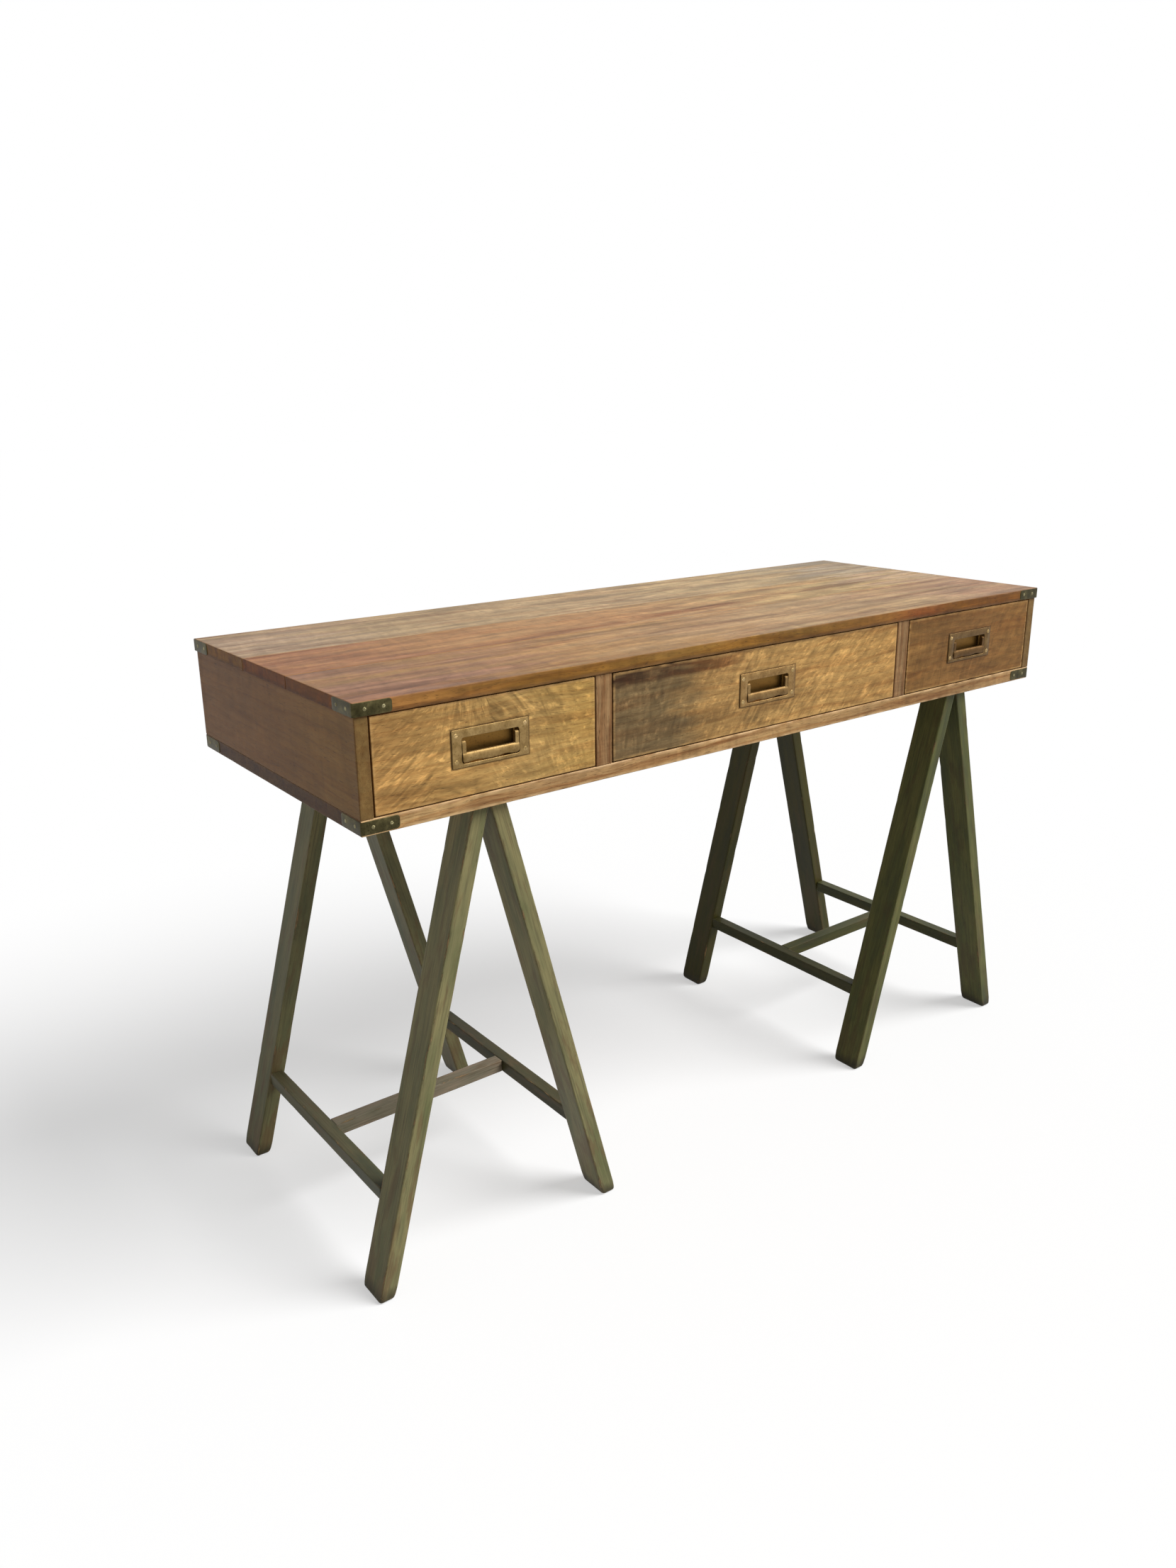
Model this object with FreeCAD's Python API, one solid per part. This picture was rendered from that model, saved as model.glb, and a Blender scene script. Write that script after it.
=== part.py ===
import FreeCAD, Part
import math
import os

Vector = FreeCAD.Vector

# A campaign desk: a long three-drawer case on two splayed trestles.
# Millimetres. X runs along the desk, Y from front to back and Z up.
# The origin is on the floor, under the middle of the desk.

# Desktop and case
desk_length = 1200.0
desk_depth = 450.0
desk_height = 750.0
desktop_thickness = 16.0
desktop_overhang = 2.0
middle_plank_width = 124.0
joint_groove = 0.5  # depth of the fine vee along each plank joint
opening_height = 112.0
bottom_thickness = 18.0
side_thickness = 16.0
divider_thickness = 24.0
back_thickness = 12.0
side_drawer_opening = 296.0
board_edge_bevel = 1.2
panel_edge_bevel = 0.8

# Tongues of the upright panels, which sit in stopped grooves
tongue_thickness = 8.0
tongue_height = 4.0
tongue_stop = 15.0
glue_gap = 0.2

# Trestles
trestle_inset = 170.0  # from the desktop's ends to the trestles' middles
leg_thickness = 21.0
leg_width = 45.0
leg_lean = 14.9  # degrees from the vertical
leg_inset = 12.5  # from the case's front and back to the legs
leg_edge_bevel = 1.6
foot_bevel = 1.5
apex_gap = 0.4  # between the two legs of a pair at the top
rail_width = 43.0
rail_height = 21.0

# Stretchers and their tenons
stretcher_size = 18.0
stretcher_level = 118.0  # middle of the stretchers above the floor
stretcher_edge_bevel = 1.2
tenon_width = 10.0
tenon_height = 12.0
leg_tenon_length = 20.0
cross_tenon_length = 10.0

# Coach screws that hold the case to the trestles
screw_diameter = 6.0
screw_head_width = 10.0  # across the flats
screw_head_height = 4.0
screw_reach = 14.0  # into the case's bottom
screw_spacing = 220.0
screw_hole_clearance = 0.25
fit_clearance = 0.05  # round every screw's end, pin and bracket

# Drawers
front_gap = 1.5
running_gap = 0.3
front_thickness = 18.0
front_lap = 6.0  # wood left in front of the half-blind dovetails
front_edge_bevel = 1.0
drawer_side_thickness = 12.0
drawer_side_height = 100.0
drawer_back_thickness = 12.0
drawer_bottom_thickness = 5.0
groove_level = 12.0  # under the drawer bottom, inside the lowest tail
groove_depth = 5.0
tail_count = 3
tail_width = 17.0  # at the root of a tail
tail_flare = 2.0  # how much wider a tail gets on each side at its tip
tail_margin = 8.0  # half pin above the top tail and below the bottom one
stop_length = 30.0
stop_depth = 34.0
stop_height = 20.0

# Flush pulls: plate with a recessed pan, and the bail hinged in it
pull_rise = 1.0  # plate's middle above the drawer front's middle
plate_length = 102.0
plate_height = 44.0
plate_thickness = 2.0
plate_proud = 1.0
plate_corner_radius = 2.0
plate_gap = 0.25
recess_length = 76.0
recess_height = 30.0
recess_depth = 11.0
recess_corner_radius = 3.0
plate_top_strip = 10.0  # plate above the recess
pan_wall = 2.0
bail_gap = 0.6
arm_width = 5.0
arm_thickness = 5.0
grip_height = 12.0
grip_thickness = 5.0
grip_proud = 1.3  # in front of the plate
grip_crown = 1.4  # swell of the grip's rounded face
pivot_depth = 2.5  # behind the plate's face
pivot_drop = 6.0  # under the top of the recess
pivot_pin_diameter = 3.0
pivot_pin_length = 2.0
rest_lug_width = 5.0

# Corner brackets, let into the edges of the desktop and the bottom panel
bracket_arm = 46.0
bracket_height = 15.0
bracket_thickness = 1.6
bracket_proud = 0.4
bracket_corner_radius = 2.0
bracket_end_radius = 4.0

# Places that follow from the sizes above
case_length = desk_length - 2 * desktop_overhang
case_depth = desk_depth - 2 * desktop_overhang
case_front = -case_depth / 2
case_back = case_depth / 2
desktop_underside = desk_height - desktop_thickness
opening_floor = desktop_underside - opening_height
case_underside = opening_floor - bottom_thickness
inner_end = case_length / 2 - side_thickness
middle_drawer_opening = 2 * (inner_end - side_drawer_opening - divider_thickness)

lean = math.tan(math.radians(leg_lean))
leg_run = leg_thickness / math.cos(math.radians(leg_lean))
leg_top_offset = (leg_run + apex_gap) / 2
leg_row = case_depth / 2 - leg_inset - leg_width / 2
rail_end = leg_row - leg_width / 2
rail_middle = case_underside - rail_height / 2

front_middle = opening_floor + opening_height / 2
pull_level = front_middle + pull_rise
plate_face = case_front - plate_proud
recess_top = pull_level + plate_height / 2 - plate_top_strip
recess_bottom = recess_top - recess_height
pivot_level = recess_top - pivot_drop
pivot_row = plate_face + pivot_depth
grip_face = plate_face - grip_proud
grip_back = grip_face + grip_thickness


def box(x0, x1, y0, y1, z0, z1):
    return Part.makeBox(x1 - x0, y1 - y0, z1 - z0, Vector(x0, y0, z0))


def rod(diameter, start, direction, length):
    return Part.makeCylinder(diameter / 2, length, start, direction)


def along(edge, axis):
    ends = [vertex.Point for vertex in edge.Vertexes]
    if len(ends) < 2:
        return False
    run = ends[1] - ends[0]
    return run.Length > 1e-6 and abs(run.normalize().dot(axis)) > 0.999


def rounded(solid, radius, axis):
    return solid.makeFillet(radius, [edge for edge in solid.Edges if along(edge, axis)])


def bevelled(solid, width, axis):
    return solid.makeChamfer(width, [edge for edge in solid.Edges if along(edge, axis)])


def prism_xz(corners, y0, y1):
    points = [Vector(x, y0, z) for x, z in corners]
    return Part.Face(Part.makePolygon(points + points[:1])).extrude(Vector(0, y1 - y0, 0))


def prism_yz(corners, x0, x1):
    points = [Vector(x0, y, z) for y, z in corners]
    return Part.Face(Part.makePolygon(points + points[:1])).extrude(Vector(x1 - x0, 0, 0))


def cut_all(solid, tools):
    tools = [tool for tool in tools if tool.BoundBox.intersect(solid.BoundBox)]
    return solid.cut(tools).removeSplitter() if tools else solid


# Case

def tongue(x_middle, z_from, up, gap):
    """Tongue along an upright panel's edge, or with a gap the groove that takes it."""
    reach = up * (tongue_height + gap)
    return box(x_middle - tongue_thickness / 2, x_middle + tongue_thickness / 2,
               case_front + tongue_stop, case_back - back_thickness - tongue_stop,
               min(z_from, z_from + reach), max(z_from, z_from + reach))


def upright_middles():
    side = inner_end + side_thickness / 2
    divider = middle_drawer_opening / 2 + divider_thickness / 2
    return [-side, -divider, divider, side]


def upright_panel(x_middle, thickness, back):
    panel = box(x_middle - thickness / 2, x_middle + thickness / 2, case_front, back,
                opening_floor, desktop_underside)
    panel = bevelled(panel, panel_edge_bevel, Vector(0, 0, 1))
    lower = tongue(x_middle, opening_floor, -1, 0)
    upper = tongue(x_middle, desktop_underside, 1, 0)
    return panel.fuse([lower, upper]).removeSplitter()


def desktop_planks():
    board = box(-desk_length / 2, desk_length / 2, -desk_depth / 2, desk_depth / 2,
                desktop_underside, desk_height)
    board = board.makeChamfer(board_edge_bevel, board.Edges)
    joint = middle_plank_width / 2
    tools = [tongue(x, desktop_underside, 1, glue_gap) for x in upright_middles()]
    tools += [joint_vee(-joint), joint_vee(joint)]
    tools += bracket_recesses(desk_length, desk_depth, desktop_bracket_floor())
    planks = []
    for y0, y1 in ((-desk_depth / 2, -joint), (-joint, joint), (joint, desk_depth / 2)):
        slab = box(-desk_length / 2, desk_length / 2, y0, y1, desktop_underside, desk_height)
        planks.append(cut_all(board.common(slab), tools))
    return planks


def joint_vee(y):
    corners = [(y - joint_groove, desk_height), (y, desk_height - joint_groove),
               (y + joint_groove, desk_height)]
    return prism_yz(corners, -desk_length / 2, desk_length / 2)


def bottom_panel():
    panel = box(-case_length / 2, case_length / 2, case_front, case_back,
                case_underside, opening_floor)
    panel = panel.makeChamfer(panel_edge_bevel, panel.Edges)
    tools = [tongue(x, opening_floor, -1, glue_gap) for x in upright_middles()]
    tools += bracket_recesses(case_length, case_depth, bottom_bracket_floor())
    for x, y in screw_places():
        tools.append(rod(screw_diameter + 2 * fit_clearance, Vector(x, y, case_underside),
                         Vector(0, 0, 1), screw_reach + glue_gap))
    return cut_all(panel, tools)


def back_panel():
    return box(-inner_end, inner_end, case_back - back_thickness, case_back,
               opening_floor, desktop_underside)


# Corner brackets

def desktop_bracket_floor():
    return desk_height - desktop_thickness / 2 - bracket_height / 2


def bottom_bracket_floor():
    return case_underside + bottom_thickness / 2 - bracket_height / 2


def corners_of_board():
    return [(sx, sy) for sy in (-1, 1) for sx in (-1, 1)]


def bracket_strip(length, depth, sx, sy, floor, outward, inward, extra):
    """Both arms of a bracket as plain strips, from outward of the edges to inward."""
    x_out, x_in = length / 2 + outward, length / 2 - inward
    y_out, y_in = depth / 2 + outward, depth / 2 - inward
    x_end, y_end = length / 2 - bracket_arm - extra, depth / 2 - bracket_arm - extra
    z0, z1 = floor - extra, floor + bracket_height + extra
    front = box(x_end, x_out, y_in, y_out, z0, z1)
    side = box(x_in, x_out, y_end, y_out, z0, z1)
    strip = front.fuse(side).removeSplitter()
    return mirrored(strip, sx, sy)


def mirrored(solid, sx, sy):
    if sx < 0:
        solid = solid.mirror(Vector(0, 0, 0), Vector(1, 0, 0))
    if sy < 0:
        solid = solid.mirror(Vector(0, 0, 0), Vector(0, 1, 0))
    return solid


def bracket_recesses(length, depth, floor):
    inward = bracket_thickness - bracket_proud
    return [bracket_strip(length, depth, sx, sy, floor, bracket_proud, inward, fit_clearance)
            for sx, sy in corners_of_board()]


def bracket(length, depth, sx, sy, floor):
    inward = bracket_thickness - bracket_proud
    strap = bracket_strip(length, depth, 1, 1, floor, bracket_proud, inward, 0)
    bend = [edge for edge in strap.Edges if along(edge, Vector(0, 0, 1))
            and edge.Vertexes[0].X > length / 2 and edge.Vertexes[0].Y > depth / 2]
    strap = strap.makeFillet(bracket_corner_radius, bend)
    ends = [edge for edge in strap.Edges
            if edge.Length < bracket_thickness + 1e-6 and is_arm_end(edge, length, depth)]
    return mirrored(strap.makeFillet(bracket_end_radius, ends), sx, sy)


def is_arm_end(edge, length, depth):
    middle = edge.CenterOfMass
    across_y = along(edge, Vector(0, 1, 0)) and abs(middle.x - length / 2 + bracket_arm) < 1e-6
    across_x = along(edge, Vector(1, 0, 0)) and abs(middle.y - depth / 2 + bracket_arm) < 1e-6
    return across_x or across_y


# Trestles

def leg_offset(level):
    """Distance of a leg's middle from the trestle's middle at a height."""
    return leg_top_offset + (case_underside - level) * lean


def leg(trestle_x, side, row):
    corners = []
    for level, edges in ((0.0, (-1, 1)), (case_underside, (1, -1))):
        middle = trestle_x + side * leg_offset(level)
        corners += [(middle + edge * leg_run / 2, level) for edge in edges]
    solid = prism_xz(corners, row - leg_width / 2, row + leg_width / 2)
    slope = Vector(-side * math.sin(math.radians(leg_lean)), 0, math.cos(math.radians(leg_lean)))
    solid = bevelled(solid, leg_edge_bevel, slope)
    sole = [edge for edge in solid.Edges if max(v.Z for v in edge.Vertexes) < 1e-6]
    solid = solid.makeChamfer(foot_bevel, sole)
    end = 1 if row > 0 else -1
    return cut_all(solid, [leg_tenon(trestle_x, side, end, level, glue_gap)
                           for level in (stretcher_level, rail_middle)])


def leg_tenon(trestle_x, side, end, level, gap):
    """Tenon into one leg, or with a gap the mortise that takes it."""
    x = trestle_x + side * leg_offset(level)
    tip = rail_end + leg_tenon_length + gap
    return box(x - tenon_width / 2, x + tenon_width / 2, min(end * rail_end, end * tip),
               max(end * rail_end, end * tip), level - tenon_height / 2,
               level + tenon_height / 2)


def cross_tenon(trestle_x, side, gap):
    root = leg_offset(stretcher_level) - stretcher_size / 2
    tip = root + cross_tenon_length + gap
    ends = sorted((trestle_x + side * root, trestle_x + side * tip))
    return box(ends[0], ends[1], -tenon_width / 2, tenon_width / 2,
               stretcher_level - tenon_height / 2, stretcher_level + tenon_height / 2)


def side_stretcher(trestle_x, side):
    x = trestle_x + side * leg_offset(stretcher_level)
    bar = box(x - stretcher_size / 2, x + stretcher_size / 2, -rail_end, rail_end,
              stretcher_level - stretcher_size / 2, stretcher_level + stretcher_size / 2)
    bar = bevelled(bar, stretcher_edge_bevel, Vector(0, 1, 0))
    bar = bar.fuse([leg_tenon(trestle_x, side, end, stretcher_level, 0) for end in (-1, 1)])
    return cut_all(bar, [cross_tenon(trestle_x, side, glue_gap)])


def cross_stretcher(trestle_x):
    half = leg_offset(stretcher_level) - stretcher_size / 2
    bar = box(trestle_x - half, trestle_x + half, -stretcher_size / 2, stretcher_size / 2,
              stretcher_level - stretcher_size / 2, stretcher_level + stretcher_size / 2)
    bar = bevelled(bar, stretcher_edge_bevel, Vector(1, 0, 0))
    return bar.fuse([cross_tenon(trestle_x, side, 0) for side in (-1, 1)]).removeSplitter()


def top_rail(trestle_x):
    rail = box(trestle_x - rail_width / 2, trestle_x + rail_width / 2, -rail_end, rail_end,
               case_underside - rail_height, case_underside)
    rail = rail.fuse([leg_tenon(trestle_x, side, end, rail_middle, 0)
                      for side in (-1, 1) for end in (-1, 1)])
    hole = screw_diameter + 2 * screw_hole_clearance
    return cut_all(rail, [rod(hole, Vector(x, y, case_underside - rail_height),
                              Vector(0, 0, 1), rail_height) for x, y in screw_places()])


def trestle_middles():
    middle = desk_length / 2 - trestle_inset
    return [-middle, middle]


def screw_places():
    return [(x, y) for x in trestle_middles() for y in (-screw_spacing / 2, screw_spacing / 2)]


def coach_screw(x, y):
    """A hexagon-headed screw, up through a top rail into the case's bottom."""
    seat = case_underside - rail_height
    shank = rod(screw_diameter, Vector(x, y, seat), Vector(0, 0, 1), rail_height + screw_reach)
    corner = screw_head_width / math.sqrt(3)
    hexagon = [Vector(x + corner * math.cos(math.radians(60 * i)),
                      y + corner * math.sin(math.radians(60 * i)), seat) for i in range(7)]
    head = Part.Face(Part.makePolygon(hexagon)).extrude(Vector(0, 0, -screw_head_height))
    return head.fuse(shank).removeSplitter()


# Drawers

def tails(x0, x1, y_root, y_tip, z0, z1):
    """Dovetail tails on a drawer side's end, between two heights."""
    pitch = (z1 - z0 - 2 * tail_margin - tail_width) / (tail_count - 1)
    shapes = []
    for i in range(tail_count):
        low = z0 + tail_margin + i * pitch
        high = low + tail_width
        shapes.append(prism_yz([(y_root, low), (y_tip, low - tail_flare),
                                (y_tip, high + tail_flare), (y_root, high)], x0, x1))
    return shapes


class Drawer:
    """Places of one drawer's pieces."""

    def __init__(self, x_middle, opening):
        self.x = x_middle
        self.half = opening / 2 - front_gap
        self.front_back = case_front + front_thickness
        self.tail_tip = case_front + front_lap
        self.end = case_back - back_thickness - stop_depth - running_gap
        self.back_front = self.end - drawer_back_thickness
        self.floor = opening_floor + running_gap
        self.top = self.floor + drawer_side_height
        self.bottom_low = self.floor + groove_level
        self.bottom_high = self.bottom_low + drawer_bottom_thickness

    def side_span(self, side):
        outer = self.x + side * self.half
        inner = outer - side * drawer_side_thickness
        return min(outer, inner), max(outer, inner)

    def front_tails(self, side):
        x0, x1 = self.side_span(side)
        return tails(x0, x1, self.front_back, self.tail_tip, self.floor, self.top)

    def back_tails(self, side):
        x0, x1 = self.side_span(side)
        return tails(x0, x1, self.back_front, self.end, self.bottom_high, self.top)

    def bottom_slab(self, gap):
        reach = self.half - drawer_side_thickness + groove_depth + gap
        return box(self.x - reach, self.x + reach, self.front_back - groove_depth - gap, self.end,
                   self.bottom_low, self.bottom_high)

    def front(self):
        board = box(self.x - self.half, self.x + self.half, case_front, self.front_back,
                    opening_floor + front_gap, desktop_underside - front_gap)
        face = [edge for edge in board.Edges
                if max(v.Y for v in edge.Vertexes) < case_front + 1e-6]
        board = board.makeChamfer(front_edge_bevel, face)
        tools = self.front_tails(-1) + self.front_tails(1) + [self.bottom_slab(glue_gap)]
        tools += [plate_blank(self.x, plate_gap, case_front), pan_blank(self.x, plate_gap)]
        return cut_all(board, tools)

    def side(self, side):
        x0, x1 = self.side_span(side)
        board = box(x0, x1, self.front_back, self.back_front, self.floor, self.top)
        under_back = box(x0, x1, self.back_front, self.end, self.floor, self.bottom_low)
        pieces = self.front_tails(side) + self.back_tails(side) + [under_back]
        board = board.fuse(pieces).removeSplitter()
        return cut_all(board, [self.bottom_slab(glue_gap)])

    def back(self):
        board = box(self.x - self.half, self.x + self.half, self.back_front, self.end,
                    self.bottom_high, self.top)
        return cut_all(board, self.back_tails(-1) + self.back_tails(1))

    def bottom(self):
        return self.bottom_slab(0)


def drawer_stops(drawer):
    """Blocks on the bottom panel that the closed drawer's sides meet."""
    blocks = []
    for side in (-1, 1):
        outer = drawer.x + side * (drawer.half + front_gap)
        inner = outer - side * stop_length
        blocks.append(box(min(outer, inner), max(outer, inner), drawer.end + running_gap,
                          case_back - back_thickness, opening_floor, opening_floor + stop_height))
    return blocks


# Pulls

def plate_blank(x, gap, y_front):
    half = plate_length / 2 + gap
    blank = box(x - half, x + half, y_front, plate_face + plate_thickness,
                pull_level - plate_height / 2 - gap, pull_level + plate_height / 2 + gap)
    return rounded(blank, plate_corner_radius, Vector(0, 1, 0))


def pan_blank(x, gap):
    half = recess_length / 2 + pan_wall + gap
    blank = box(x - half, x + half, plate_face + plate_thickness,
                plate_face + recess_depth + pan_wall + gap,
                recess_bottom - pan_wall - gap, recess_top + pan_wall + gap)
    return rounded(blank, recess_corner_radius + pan_wall, Vector(0, 1, 0))


def pull_plate(x):
    plate = plate_blank(x, 0, plate_face).fuse(pan_blank(x, 0)).removeSplitter()
    recess = box(x - recess_length / 2, x + recess_length / 2, plate_face,
                 plate_face + recess_depth, recess_bottom, recess_top)
    recess = rounded(recess, recess_corner_radius, Vector(0, 1, 0))
    plate = cut_all(plate, [recess])
    lugs = []
    for side in (-1, 1):
        edges = sorted((x + side * recess_length / 2,
                        x + side * (recess_length / 2 - rest_lug_width)))
        lug = box(edges[0], edges[1], grip_back + running_gap, plate_face + recess_depth,
                  recess_bottom, recess_bottom + grip_height / 2)
        lugs.append(lug.common(recess))
    plate = plate.fuse(lugs).removeSplitter()
    pin_hole = rod(pivot_pin_diameter + 2 * fit_clearance,
                   Vector(x - recess_length / 2 - pan_wall, pivot_row, pivot_level),
                   Vector(1, 0, 0), recess_length + 2 * pan_wall)
    return cut_all(plate, [pin_hole])


def pull_bail(x):
    """A cast bail: two arms, a swelling grip and the pins it turns on."""
    reach = recess_length / 2 - bail_gap
    grip_low = recess_bottom + bail_gap
    grip = box(x - reach, x + reach, grip_face + grip_crown, grip_back,
               grip_low, grip_low + grip_height)
    grip = grip.fuse(crowned_face(x, reach, grip_low)).removeSplitter()
    corners = box(x - reach, x + reach, grip_face, grip_back, grip_low, recess_top)
    grip = grip.common(rounded(corners, recess_corner_radius, Vector(0, 1, 0)))
    pieces = []
    for side in (-1, 1):
        edges = sorted((x + side * reach, x + side * (reach - arm_width)))
        arm = box(edges[0], edges[1], pivot_row - arm_thickness / 2,
                  pivot_row + arm_thickness / 2, grip_low + grip_height / 2, pivot_level)
        pieces += [arm, rod(arm_thickness, Vector(edges[0], pivot_row, pivot_level),
                            Vector(1, 0, 0), arm_width)]
        start = x + side * reach - (pivot_pin_length if side < 0 else 0)
        pieces.append(rod(pivot_pin_diameter, Vector(start, pivot_row, pivot_level),
                          Vector(1, 0, 0), pivot_pin_length))
    return grip.fuse(pieces).removeSplitter()


def crowned_face(x, reach, grip_low):
    """The grip's rounded front, an arc in section."""
    y_edge = grip_face + grip_crown
    low = Vector(x - reach, y_edge, grip_low)
    high = Vector(x - reach, y_edge, grip_low + grip_height)
    crest = Vector(x - reach, grip_face, grip_low + grip_height / 2)
    bow = Part.Arc(low, crest, high).toShape()
    return Part.Face(Part.Wire([bow, Part.makeLine(high, low)])).extrude(Vector(2 * reach, 0, 0))


# Assembly: every node's name and shape

def case_nodes():
    nodes = dict(zip(("desktop_plank_front", "desktop_plank_middle", "desktop_plank_back"),
                     desktop_planks()))
    side_left, divider_left, divider_right, side_right = upright_middles()
    nodes["bottom_panel"] = bottom_panel()
    nodes["side_panel_left"] = upright_panel(side_left, side_thickness, case_back)
    nodes["side_panel_right"] = upright_panel(side_right, side_thickness, case_back)
    divider_back = case_back - back_thickness
    nodes["divider_left"] = upright_panel(divider_left, divider_thickness, divider_back)
    nodes["divider_right"] = upright_panel(divider_right, divider_thickness, divider_back)
    nodes["back_panel"] = back_panel()
    return nodes


def bracket_nodes():
    nodes = {}
    floor = desktop_bracket_floor()
    for sx, sy in corners_of_board():
        name = "top_bracket_%s_%s" % ("front" if sy < 0 else "back", "left" if sx < 0 else "right")
        nodes[name] = bracket(desk_length, desk_depth, sx, sy, floor)
    lower = [bracket(case_length, case_depth, sx, sy, bottom_bracket_floor())
             for sx, sy in corners_of_board()]
    nodes["bottom_brackets"] = Part.makeCompound(lower)
    return nodes


def trestle_nodes():
    nodes = {}
    for hand, x in zip(("left", "right"), trestle_middles()):
        outward = -1 if x < 0 else 1
        for place, side in (("outer", outward), ("inner", -outward)):
            for end, row in (("front", -leg_row), ("back", leg_row)):
                nodes["%s_trestle_%s_%s_leg" % (hand, end, place)] = leg(x, side, row)
            nodes["%s_trestle_%s_stretcher" % (hand, place)] = side_stretcher(x, side)
        nodes["%s_trestle_cross_stretcher" % hand] = cross_stretcher(x)
        nodes["%s_trestle_top_rail" % hand] = top_rail(x)
    screws = [coach_screw(x, y) for x, y in screw_places()]
    nodes["trestle_coach_screws"] = Part.makeCompound(screws)
    return nodes


def drawer_nodes():
    side_x = inner_end - side_drawer_opening / 2
    nodes = {}
    stops = []
    for hand, x, opening in (("left", -side_x, side_drawer_opening),
                             ("middle", 0.0, middle_drawer_opening),
                             ("right", side_x, side_drawer_opening)):
        drawer = Drawer(x, opening)
        nodes[hand + "_drawer_front"] = drawer.front()
        nodes[hand + "_drawer_left_side"] = drawer.side(-1)
        nodes[hand + "_drawer_right_side"] = drawer.side(1)
        nodes[hand + "_drawer_back"] = drawer.back()
        nodes[hand + "_drawer_bottom"] = drawer.bottom()
        nodes[hand + "_pull_plate"] = pull_plate(x)
        nodes[hand + "_pull_bail"] = pull_bail(x)
        stops += drawer_stops(drawer)
    nodes["drawer_stops"] = Part.makeCompound(stops)
    return nodes


def main():
    nodes = {}
    nodes.update(case_nodes())
    nodes.update(bracket_nodes())
    nodes.update(trestle_nodes())
    nodes.update(drawer_nodes())
    os.makedirs("parts", exist_ok=True)
    for name, shape in nodes.items():
        shape.exportStep("parts/%s.step" % name)
    print("%d nodes, %d solids" % (len(nodes), sum(len(s.Solids) for s in nodes.values())))


main()
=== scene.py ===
import bmesh
import bpy
import math
import random
from mathutils import Matrix, Vector, noise


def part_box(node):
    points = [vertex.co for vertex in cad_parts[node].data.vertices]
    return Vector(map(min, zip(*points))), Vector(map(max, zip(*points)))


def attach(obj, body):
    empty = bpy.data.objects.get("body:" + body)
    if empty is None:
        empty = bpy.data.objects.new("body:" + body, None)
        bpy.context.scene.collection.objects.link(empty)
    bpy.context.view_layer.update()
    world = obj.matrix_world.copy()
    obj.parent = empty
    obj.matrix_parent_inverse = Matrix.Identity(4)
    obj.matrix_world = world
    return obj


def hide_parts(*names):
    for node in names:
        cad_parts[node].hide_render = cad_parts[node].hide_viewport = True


# A campaign desk: a mango-wood case with three drawers on two olive trestles.
# Shapes are worked out in millimetres and stored in metres.

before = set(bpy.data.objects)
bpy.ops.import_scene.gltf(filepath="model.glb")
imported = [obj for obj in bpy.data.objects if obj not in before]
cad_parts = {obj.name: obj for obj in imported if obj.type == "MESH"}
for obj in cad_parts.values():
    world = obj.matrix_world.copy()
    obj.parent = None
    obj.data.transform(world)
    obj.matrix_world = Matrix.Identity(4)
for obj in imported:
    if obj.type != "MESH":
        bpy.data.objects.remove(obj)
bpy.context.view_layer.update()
mm = 0.001
speck = 0.002  # points closer than this are joined


# Colour, nodes and meshes

def linear(tone):  # sRGB hex, or a plain grey, to the linear colour that a socket takes
    if not isinstance(tone, str):
        return [tone, tone, tone, 1.0]
    channels = [int(tone[i:i + 2], 16) / 255 for i in (1, 3, 5)]
    return [c / 12.92 if c <= 0.04045 else ((c + 0.055) / 1.055) ** 2.4 for c in channels] + [1.0]


def plug(tree, node, inputs):  # links each input to a node or sets its value
    for key, value in inputs.items():
        if isinstance(value, bpy.types.Node):
            value = next(out for out in value.outputs if out.enabled)
        if isinstance(value, bpy.types.NodeSocket):
            tree.links.new(value, node.inputs[key])
        else:
            node.inputs[key].default_value = linear(value) if isinstance(value, str) else value


# kind is the node's type, then its operation. MapRange takes a value at 0, its range at 1 and 2 and the
# new range at 3 and 4; Mix takes a share at 0 and two colours at 6 and 7
def addNode(tree, kind, inputs=None, stops=(), **settings):
    kind, _, operation = kind.partition(" ")
    node = tree.nodes.new("ShaderNode" + kind)
    if operation:
        node.operation = operation
    for key, value in settings.items():
        setattr(node, key, value)
    plug(tree, node, inputs or {})
    for index, (place, tone) in enumerate(stops):
        elements = node.color_ramp.elements
        element = elements[index] if index < 2 else elements.new(place)
        element.position = place
        element.color = linear(tone)
    return node


def newMaterial(name):
    material = bpy.data.materials.new(name)
    material.use_nodes = True
    return material, material.node_tree, material.node_tree.nodes["Principled BSDF"]


def pattern(tree, place, size, detail=2.0, roughness=0.5, twist=0.0):  # noise with features of size, mm
    scaled = addNode(tree, "VectorMath MULTIPLY", {0: place, 1: [1 / s for s in size]})
    return addNode(tree, "TexNoise", {"Vector": scaled, "Scale": 1.0, "Detail": detail,
                                      "Roughness": roughness, "Distortion": twist})


def objectPlace(tree):  # where a point is, mm
    return addNode(tree, "VectorMath SCALE", {0: addNode(tree, "TexCoord").outputs["Object"], 3: 1 / mm})


def ramped(tree, place, marks, stops):  # a pattern read through a ramp
    return addNode(tree, "ValToRGB", {"Fac": pattern(tree, place, *marks)}, stops)


def layered(tree, colour, layers):  # lays tints over a colour, each by its share and its blend
    for share, tint, blend in layers:
        colour = addNode(tree, "Mix", {0: share, 6: colour, 7: tint}, data_type="RGBA", blend_type=blend)
    return colour


def loft(shape, rings):  # skin over closed rings of equal count, capped at both ends
    loops = [[shape.verts.new(point) for point in ring] for ring in rings]
    count = len(loops[0])
    for low, high in zip(loops, loops[1:]):
        for i in range(count):
            j = (i + 1) % count
            shape.faces.new((low[i], low[j], high[j], high[i]))
    shape.faces.new(list(reversed(loops[0])))
    shape.faces.new(loops[-1])


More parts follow.
